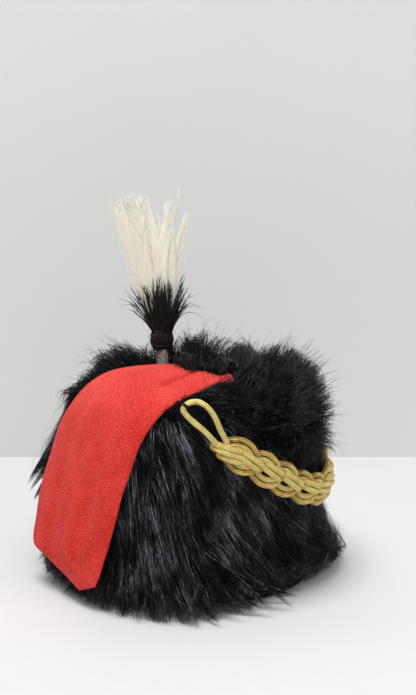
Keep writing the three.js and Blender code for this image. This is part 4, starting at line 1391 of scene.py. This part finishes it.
def underfur(pressed):
    """Closed skin of the dense pile, pressed in where the bag and the cords lie."""
    bearing = np.arange(UNDERFUR_SIDES) * 360 / UNDERFUR_SIDES
    inside = [place(reach, bearing, height) for reach, height in UNDERFUR_INSIDE]
    outside = []
    for reach, height in UNDERFUR_OUTSIDE:
        rough = UNDERFUR_ROUGH * np.sin(bearing * 0.9 + height)
        reach = reach + rough * np.sin(bearing * 0.31 + height * 0.7)
        outside.append(fur_place(PELT, reach, bearing, height + hem_lift(bearing, height)))
    outside, _ = pressed.press(np.array(outside), UNDERFUR_DEEPER)
    points, triangles = closed_rings(np.concatenate([inside, outside]), UNDERFUR_CROWN)
    return points, outwards(points, triangles), {}


# ------------------------------------------------------------------ plume
def plume_place(across, forward, height):
    """A point by how far it is to the plume's right, how far in front of it, and its height."""
    turn = math.radians(PLUME_FACING)
    right = np.array([math.cos(turn), -math.sin(turn), 0])
    front = np.array([-math.sin(turn), -math.cos(turn), 0])
    across, forward, height = alike(across, forward, height)
    base = round_stem(0, 0, height)
    return base + across[..., None] * right + forward[..., None] * front


# White feathers: foot, bend and tip (across, height), width, width at the tip, depth in front.
FEATHERS = [
    ((-1, 208), (-5, 262), (-12, 318), 34, 19, -1.4),
    ((3, 208), (9, 262), (25, 315), 15, 7, -1.1),
    ((3, 208), (7, 276), (17, 337), 6, 2, -0.8),
    ((-2, 208), (-12, 262), (-41, 332), 28, 24, -0.4),
    ((2, 208), (2, 268), (9, 328), 21, 10, 0.0),
    ((-1, 208), (-9, 268), (-28, 334), 26, 17, 0.4),
    ((0, 208), (-6, 270), (-16, 332), 23, 9, 0.8),
    ((2, 208), (4, 250), (9, 302), 18, 5, 1.1),
    ((0, 208), (-5, 256), (-14, 312), 26, 8, 1.5),
]
BARBS = 130
BARB_SHARES = np.array([0, 0.35, 0.7, 1.0])
BARB_TAPER = 0.2 * np.array([1.0, 1.0, 0.9, 0.0])
BARB_FEET = (0.03, 0.93)  # shares of the feather's length with barbs
BARB_LENGTH = (0.18, 0.03)  # a share of it too: at least, and more
BARB_END = (1.01, 0.07)  # the share where they end: at most, and less
BARB_STRAY = (0.12, 0.06)  # how far in front of the web they lie, and how much that differs
HOLLOW = 0.006
WEB_GRID = (30, 21)  # points along a feather's web and across it
WEB_HALF = 0.25  # half its thickness
WEB_WIDTH = 0.92  # of the feather's width
WEB_FOOT = 0.02


def vane_width(share, width, tip_width):
    """Half-width of a feather at shares of its length."""
    grown = smoothstep(share, -0.05, 0.4)
    narrowed = smoothstep(share, 0.45, 0.95)
    return (width * (1 - narrowed) + tip_width * narrowed) / 2 * grown


def on_vane(curve, depth, share, off, lift):
    """Points on a hollow feather: by share of its length, off its middle and out in front."""
    spine = bezier(curve, share)
    tangent = unit(bezier(curve, share + 0.01) - spine)
    across = spine[..., 0] + off * tangent[..., 1]
    forward = depth * np.minimum(1, share * 2.5) - HOLLOW * off**2 + lift
    return plume_place(across, forward, spine[..., 1] - off * tangent[..., 0])


def feather_parts(rng, foot, bend, tip, width, tip_width, depth):
    """The barbs of a feather, and the web that they lie on."""
    curve = np.array([foot, bend, tip], float)
    whiter = 0.3 if tip[0] > 0 else 0.0
    paths, shades = [], []
    start = np.linspace(*BARB_FEET, BARBS)
    for side in (-1, 1):
        end = start + BARB_LENGTH[0] + BARB_LENGTH[1] * rng.random(BARBS)
        end = np.minimum(end, BARB_END[0] - BARB_END[1] * rng.random(BARBS))
        share = start[:, None] + (end - start)[:, None] * BARB_SHARES
        split = 0.12 * np.sin(start * 19 + side + depth) * smoothstep(start, 0.3, 0.7)
        ragged = 1.02 + 0.07 * rng.normal(size=BARBS) + split
        fanned = np.clip((0.95 - start) / 0.14, 0, 1)
        half = vane_width(end, width, tip_width) * ragged * fanned
        off = side * half[:, None] * BARB_SHARES**0.9
        lift = BARB_STRAY[0] + BARB_STRAY[1] * rng.normal(size=(BARBS, 1))
        paths.append(on_vane(curve, depth, share, off, lift))
        banded = whiter + 0.35 + 0.2 * np.sin(start * 27 + side + depth)
        shades.append(banded + 0.3 * rng.random(BARBS))
    barbs = tapered_strands(np.concatenate(paths), BARB_TAPER, np.concatenate(shades), rng)
    return [barbs, feather_web(rng, curve, width, tip_width, depth)]


def feather_web(rng, curve, width, tip_width, depth):
    """Thin closed sheet with a torn end, that the barbs lie on."""
    rows, columns = WEB_GRID
    across = np.linspace(-1, 1, columns)
    reached = 0.91 + 0.05 * rng.uniform(-1, 1, columns) - 0.07 * across**2
    across, reached = (np.append(both, both[::-1]) for both in (across, reached))
    thick = np.repeat([WEB_HALF, -WEB_HALF], columns) * (1.1 - across * across)
    share = WEB_FOOT + (reached - WEB_FOOT) * np.linspace(0, 1, rows)[:, None]
    off = vane_width(share, width, tip_width) * WEB_WIDTH * across
    points, triangles = closed_sheet(on_vane(curve, depth, share, off, thick))
    half = np.full(len(points), 0.5)
    return points, triangles, {"shade": half, "along": half}


# The black hackles: how many of each kind, how far out and how high their tips are.
HACKLE_KINDS = [
    (76, (1, 11), (234, 258)),
    (46, (10, 27), (238, 261)),
    (34, (20, 36), (228, 254)),
]
# Long single curls: across, height of the tip, and height of the bend.
CURLS = [
    (-43, 236, 232),
    (-43, 226, 236),
    (-38, 246, 230),
    (34, 240, 236),
    (37, 229, 238),
    (39, 226, 236),
    (42, 215, 234),
]
CURL_FOOT = 8
CURL_TURN = 0.12
HACKLE_FOOT = 202
HACKLE_FEET = (5.0, 8.6)
HACKLE_TAPER = np.array([1, 1, 0.95, 0.85, 0.7, 0.5, 0.3, 0])
HACKLE_RADIUS = 0.95
CURL_RADIUS = 0.5
HACKLE_BARBS = 16
HACKLE_BARB_ROWS = (0.6, 6.2)
HACKLE_BARB_LENGTH = (4, 9)
HACKLE_BARB_TAPER = 0.26 * np.array([1.0, 0.9, 0.6, 0])


def hackle_spines(rng):
    """Foot, bend and tip of every hackle, as reach and height, and its turn round the plume."""
    spines, around = [], []
    for count, (close, wide), (low, high) in HACKLE_KINDS:
        turn = np.linspace(0, 2 * np.pi, count, endpoint=False) + 0.3 * rng.normal(size=count)
        flat = 0.5 + 0.5 * np.abs(np.cos(turn))
        reach = rng.uniform(close, wide, count) * flat
        top = rng.uniform(low, high, count)
        foot = rng.uniform(*HACKLE_FEET, count)
        start = np.full(count, HACKLE_FOOT)
        bend = [foot + 0.25 * reach, HACKLE_FOOT + 0.55 * (top - HACKLE_FOOT)]
        spines.append(np.transpose([[foot, start], bend, [reach, top]], (2, 0, 1)))
        around.append(turn)
    for across, top, bend in CURLS:
        reach = abs(across)
        spines.append([[[CURL_FOOT, HACKLE_FOOT], [reach * 0.45, bend + 4], [reach, top]]])
        around.append([CURL_TURN if across > 0 else np.pi + CURL_TURN])
    return np.concatenate(spines).transpose(1, 0, 2), np.concatenate(around)


def hackle_parts(rng):
    """Black hackles round the foot of the plume, each with fine barbs."""
    spines, around = hackle_spines(rng)
    count = len(around)
    share = np.linspace(0, 1, len(HACKLE_TAPER))
    spine = bezier(spines, share)
    sway = around[:, None] + 0.15 * rng.normal(size=(count, 1)) * share**2
    wave = 0.8 * rng.normal(size=(count, 1)) * np.sin(share * 7) * share
    reach, height = spine[..., 0], spine[..., 1]
    paths = plume_place(reach * np.cos(sway) + wave, reach * np.sin(sway), height)
    thick = np.full(count, HACKLE_RADIUS)
    thick[-len(CURLS):] = CURL_RADIUS
    parts = [tapered_strands(paths, thick[:, None] * HACKLE_TAPER, 0.6 * rng.random(count), rng)]
    barbs = []
    tangents = unit(np.gradient(paths, axis=1))
    for i in range(count - len(CURLS)):
        for at in rng.uniform(*HACKLE_BARB_ROWS, HACKLE_BARBS):
            row = int(at)
            start = paths[i, row] * (1 - at + row) + paths[i, row + 1] * (at - row)
            aside = unit(np.cross(tangents[i, row], rng.normal(size=3)))
            length = rng.uniform(*HACKLE_BARB_LENGTH)
            end = start + tangents[i, row] * length * 0.97 + aside * length * 0.17
            middle = start + tangents[i, row] * length * 0.45 + aside * length * 0.13
            barbs.append([start, middle, (middle + end) / 2 + aside * 0.2, end])
    barbs = np.array(barbs)
    parts.append(tapered_strands(barbs, HACKLE_BARB_TAPER, rng.random(len(barbs)), rng))
    parts.append(bulb_shag(rng))
    return parts


def bulb_reach(height):
    """Half-width of the bulb of bound quills: waisted under its top, ragged at its foot."""
    share = (height - STEM_TOP) / (BINDING_TOP - STEM_TOP)
    waist = 1.2 * np.exp(-(((share - 0.9) / 0.12) ** 2))
    return 7.0 + 1.4 * share + 1.7 * np.sin(share * np.pi) - waist


SHAG_BARBS = 420
SHAG_LENGTH = (6, 14)
SHAG_SHARES = np.array([0, 0.35, 0.7, 1.0])
SHAG_TAPER = 0.36 * np.array([1.0, 1.0, 0.8, 0])
# The thread round the bulb: height of the lowest turn, and how many turns.
THREAD_TURNS = [(203.0, 2.6), (192, 1.6)]
THREAD_RISE = 0.22
THREAD_OUT = 0.75
TURN_STEPS = 40
BULB_GRID = (30, 40)
BULB_FOOT = 0.85  # how much narrower it starts


def bulb_shag(rng):
    """Black barbs laid down round the bulb, some hanging over the stem."""
    count = SHAG_BARBS
    turn = rng.random(count) * 2 * np.pi
    top = rng.uniform(STEM_TOP + 3, BINDING_TOP + 5, count)
    bottom = top - rng.uniform(*SHAG_LENGTH, count)
    bottom = np.maximum(bottom, STEM_TOP - 13 * rng.random(count) ** 2)
    height = top[:, None] + (bottom - top)[:, None] * SHAG_SHARES
    lifted = rng.uniform(0.2, 1.0, count)[:, None]
    lifted = lifted + rng.random(count)[:, None] ** 4 * [0, 0.5, 1.5, 3.5]
    reach = bulb_reach(np.maximum(height, STEM_TOP)) + lifted
    twist = turn[:, None] + 0.25 * rng.normal(size=(count, 1)) * SHAG_SHARES
    paths = round_stem(reach, twist, height)
    return tapered_strands(paths, SHAG_TAPER, rng.random(count) ** 2, rng)


def binding_parts():
    """The bulb of bound quills, and the thread round its waist."""
    rows, sides = BULB_GRID
    height = np.linspace(STEM_TOP, BINDING_TOP, rows)
    reach = bulb_reach(height)
    reach[0] *= BULB_FOOT
    points, triangles, _ = turned(np.stack([reach, height], axis=1), sides)
    parts = [(points, triangles, dict.fromkeys(("length", "turn", "painted_gleam"), np.zeros(len(points))))]
    for low, turns in THREAD_TURNS:
        turn = np.linspace(0, turns * 2 * np.pi, int(turns * TURN_STEPS))
        rise = low + THREAD_RISE * turn + 0.3 * np.sin(turn * 1.7)
        line = round_stem(bulb_reach(rise) + THREAD_OUT, turn, rise)
        points, triangles, values = tube(line, THREAD_RADIUS, THREAD_SIDES)
        # painted glints that come and go along the thread
        values["painted_gleam"] = 0.5 + 0.5 * np.sin(values["length"] * 0.9)
        parts.append((points, triangles, values))
    return parts


# ------------------------------------------------------------------ assembly
FUR_NODES = ("fur_crown", "fur_side_right", "fur_side_left")
FUR_BANDS = [("hem", 0, 1.9), ("skirt", 1.9, 3.05), ("side", 3.05, 4.3), ("top", 4.3, 8)]


def make_fur(name, strands):
    make_piece(name, strands, FUR, "fur", *FUR_NODES)


def build_fur():
    rng = np.random.default_rng(SEED)
    pressed = Pressed()
    tufts = Tufts(rng)
    level, paths, radii, shades = fur_strands(rng, tufts, pressed)
    for name, low, high in FUR_BANDS:
        chosen = (level >= low) & (level < high)
        strands = tapered_strands(paths[chosen], radii[chosen], shades[chosen], rng)
        make_fur(f"fur_strands_{name}", strands)
    make_fur("fur_guard_hairs", guard_hairs(rng, tufts, pressed))
    long_locks = np.array(LONG_LOCKS, float)
    make_fur("fur_long_locks", locks_of(rng, long_locks, LONG_LOCK_STRANDS, LONG_LOCK_WIDTH))
    hem_locks = hem_lock_rows(rng)
    make_fur("fur_hem_locks", locks_of(rng, hem_locks, HEM_LOCK_STRANDS, HEM_LOCK_WIDTH))
    make_fur("fur_over_bag", over_bag_hairs(rng))
    make_piece("fur_underfur", underfur(pressed), UNDERFUR, "fur", *FUR_NODES)


def build_bag():
    cloth = make_piece("bag_cloth", bag_shell(), FELT, "cloth", "bag")


def build_festoon():
    make_piece("festoon_cords", merged(plait_parts()), GOLD, "gold", "festoon_plait")
    for name in LOOPS:
        line = loop_line(name)
        points, triangles, values = tube(line, CORD / 2, LOOP_SIDES, on_hat(line)[2])
        cord = (points, triangles, {**values, "sunk_shade": np.zeros(len(points))})
        make_piece(f"loop_cord_{name}", cord, GOLD, "gold", f"festoon_loop_{name}")
        thread = stitch_thread(line)
        make_piece(f"loop_thread_{name}", thread, THREAD, "thread", f"loop_stitch_{name}")


def build_plume():
    rng = np.random.default_rng(SEED + 1)
    feathers = [part for row in FEATHERS for part in feather_parts(rng, *row)]
    make_piece("plume_white", merged(feathers), FEATHER, "feather", "plume_feathers")
    make_piece("plume_black", merged(hackle_parts(rng)), HACKLE, "hackle", "plume_hackle")
    make_piece("plume_thread", merged(binding_parts()), THREAD, "thread", "plume_binding")
    make_piece("plume_stalk", turned(STEM_PROFILE, STEM_SIDES), STEM, "stem", "plume_stem")


def dress_body():
    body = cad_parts["cap_body"]
    body.data.materials.clear()
    body.data.materials.append(LEATHER)


# ------------------------------------------------------------------ camera, light and stage
CAMERA_EYE = (-0.8397, -0.4465, 0.3690)
CAMERA_YAW = math.radians(27.295)  # from +X towards +Y
CAMERA_PITCH = math.radians(-10.108)
CAMERA_LENS = 56.98
# Lights: right of the camera, towards it and up, with size and power.
LIGHTS = [("key", (-0.35, 0.55, 3.0), 1.3, 62), ("fill", (0.7, 1.4, 1.2), 1.0, 5)]
LIT = Vector((0, 0, 0.1))
SKY = (0.95, 0.97, 1.0, 1)
SKY_STRENGTH = 0.44
STAGE_REACH = 4.0
WALL_AT = -0.354  # towards the camera
WALL_TOP = 3
FLOOR_COLOUR = (0.74, 0.74, 0.735)
WALL_COLOUR = (0.8, 0.797, 0.785)


def aim(thing, spot, direction):
    """Puts a camera or a light at a spot and turns it to look along a direction."""
    thing.location = spot
    thing.rotation_mode = "QUATERNION"
    thing.rotation_quaternion = direction.to_track_quat("-Z", "Y")


def make_camera():
    data = bpy.data.cameras.new("camera")
    data.lens = CAMERA_LENS
    data.sensor_width = 36
    data.clip_start = 0.01
    camera = add_object("camera", data)
    flat = math.cos(CAMERA_PITCH)
    rise = math.sin(CAMERA_PITCH)
    forward = Vector((flat * math.cos(CAMERA_YAW), flat * math.sin(CAMERA_YAW), rise))
    aim(camera, CAMERA_EYE, forward)
    bpy.context.scene.camera = camera


def view_point(right, towards, up):
    """A point by its distances to the camera's right, towards the camera, and up."""
    ahead = Vector((math.cos(CAMERA_YAW), math.sin(CAMERA_YAW), 0))
    aside = Vector((math.sin(CAMERA_YAW), -math.cos(CAMERA_YAW), 0))
    return aside * right - ahead * towards + Vector((0, 0, up))


def make_lights():
    for name, spot, size, watts in LIGHTS:
        data = bpy.data.lights.new(name, "AREA")
        data.shape = "DISK"
        data.size = size
        data.energy = watts
        spot = view_point(*spot)
        aim(add_object(name, data), spot, LIT - spot)


def stage_material(name, colour, one_sided):
    look = Nodes(name, 0.9, Specular_IOR_Level=0.1)
    low = [0.97 * part for part in colour]
    look.base(look.noise(3.0, 3.0), [(0.3, *low), (0.7, *colour)])
    if one_sided:
        clear = look.add("ShaderNodeBsdfTransparent").outputs[0]
        behind = look.add("ShaderNodeNewGeometry").outputs["Backfacing"]
        mixed = look.add("ShaderNodeMixShader", {0: behind, 1: look.shader.outputs[0], 2: clear})
        surface = look.tree.nodes["Material Output"].inputs["Surface"]
        look.tree.links.new(mixed.outputs[0], surface)
    return look.material


def make_plane(name, corners, material):
    mesh = bpy.data.meshes.new(name)
    mesh.from_pydata([tuple(corner) for corner in corners], [], [(0, 1, 2, 3)])
    mesh.materials.append(material)
    add_object(name, mesh)


def make_stage():
    far = STAGE_REACH
    corners = [(-far, -far, 0), (far, -far, 0), (far, far, 0), (-far, far, 0)]
    make_plane("floor", corners, stage_material("floor_pale", FLOOR_COLOUR, False))
    edges = [(-far, 0), (far, 0), (far, WALL_TOP), (-far, WALL_TOP)]
    corners = [view_point(right, WALL_AT, up) for right, up in edges]
    make_plane("wall", corners, stage_material("wall_grey", WALL_COLOUR, True))


def make_world():
    world = bpy.data.worlds.new("world")
    world.use_nodes = True
    background = world.node_tree.nodes["Background"]
    background.inputs["Color"].default_value = SKY
    background.inputs["Strength"].default_value = SKY_STRENGTH
    bpy.context.scene.world = world


build_fur()
build_bag()
build_festoon()
build_plume()
dress_body()
make_camera()
make_world()
make_lights()
make_stage()
bpy.context.scene.view_settings.view_transform = "Standard"
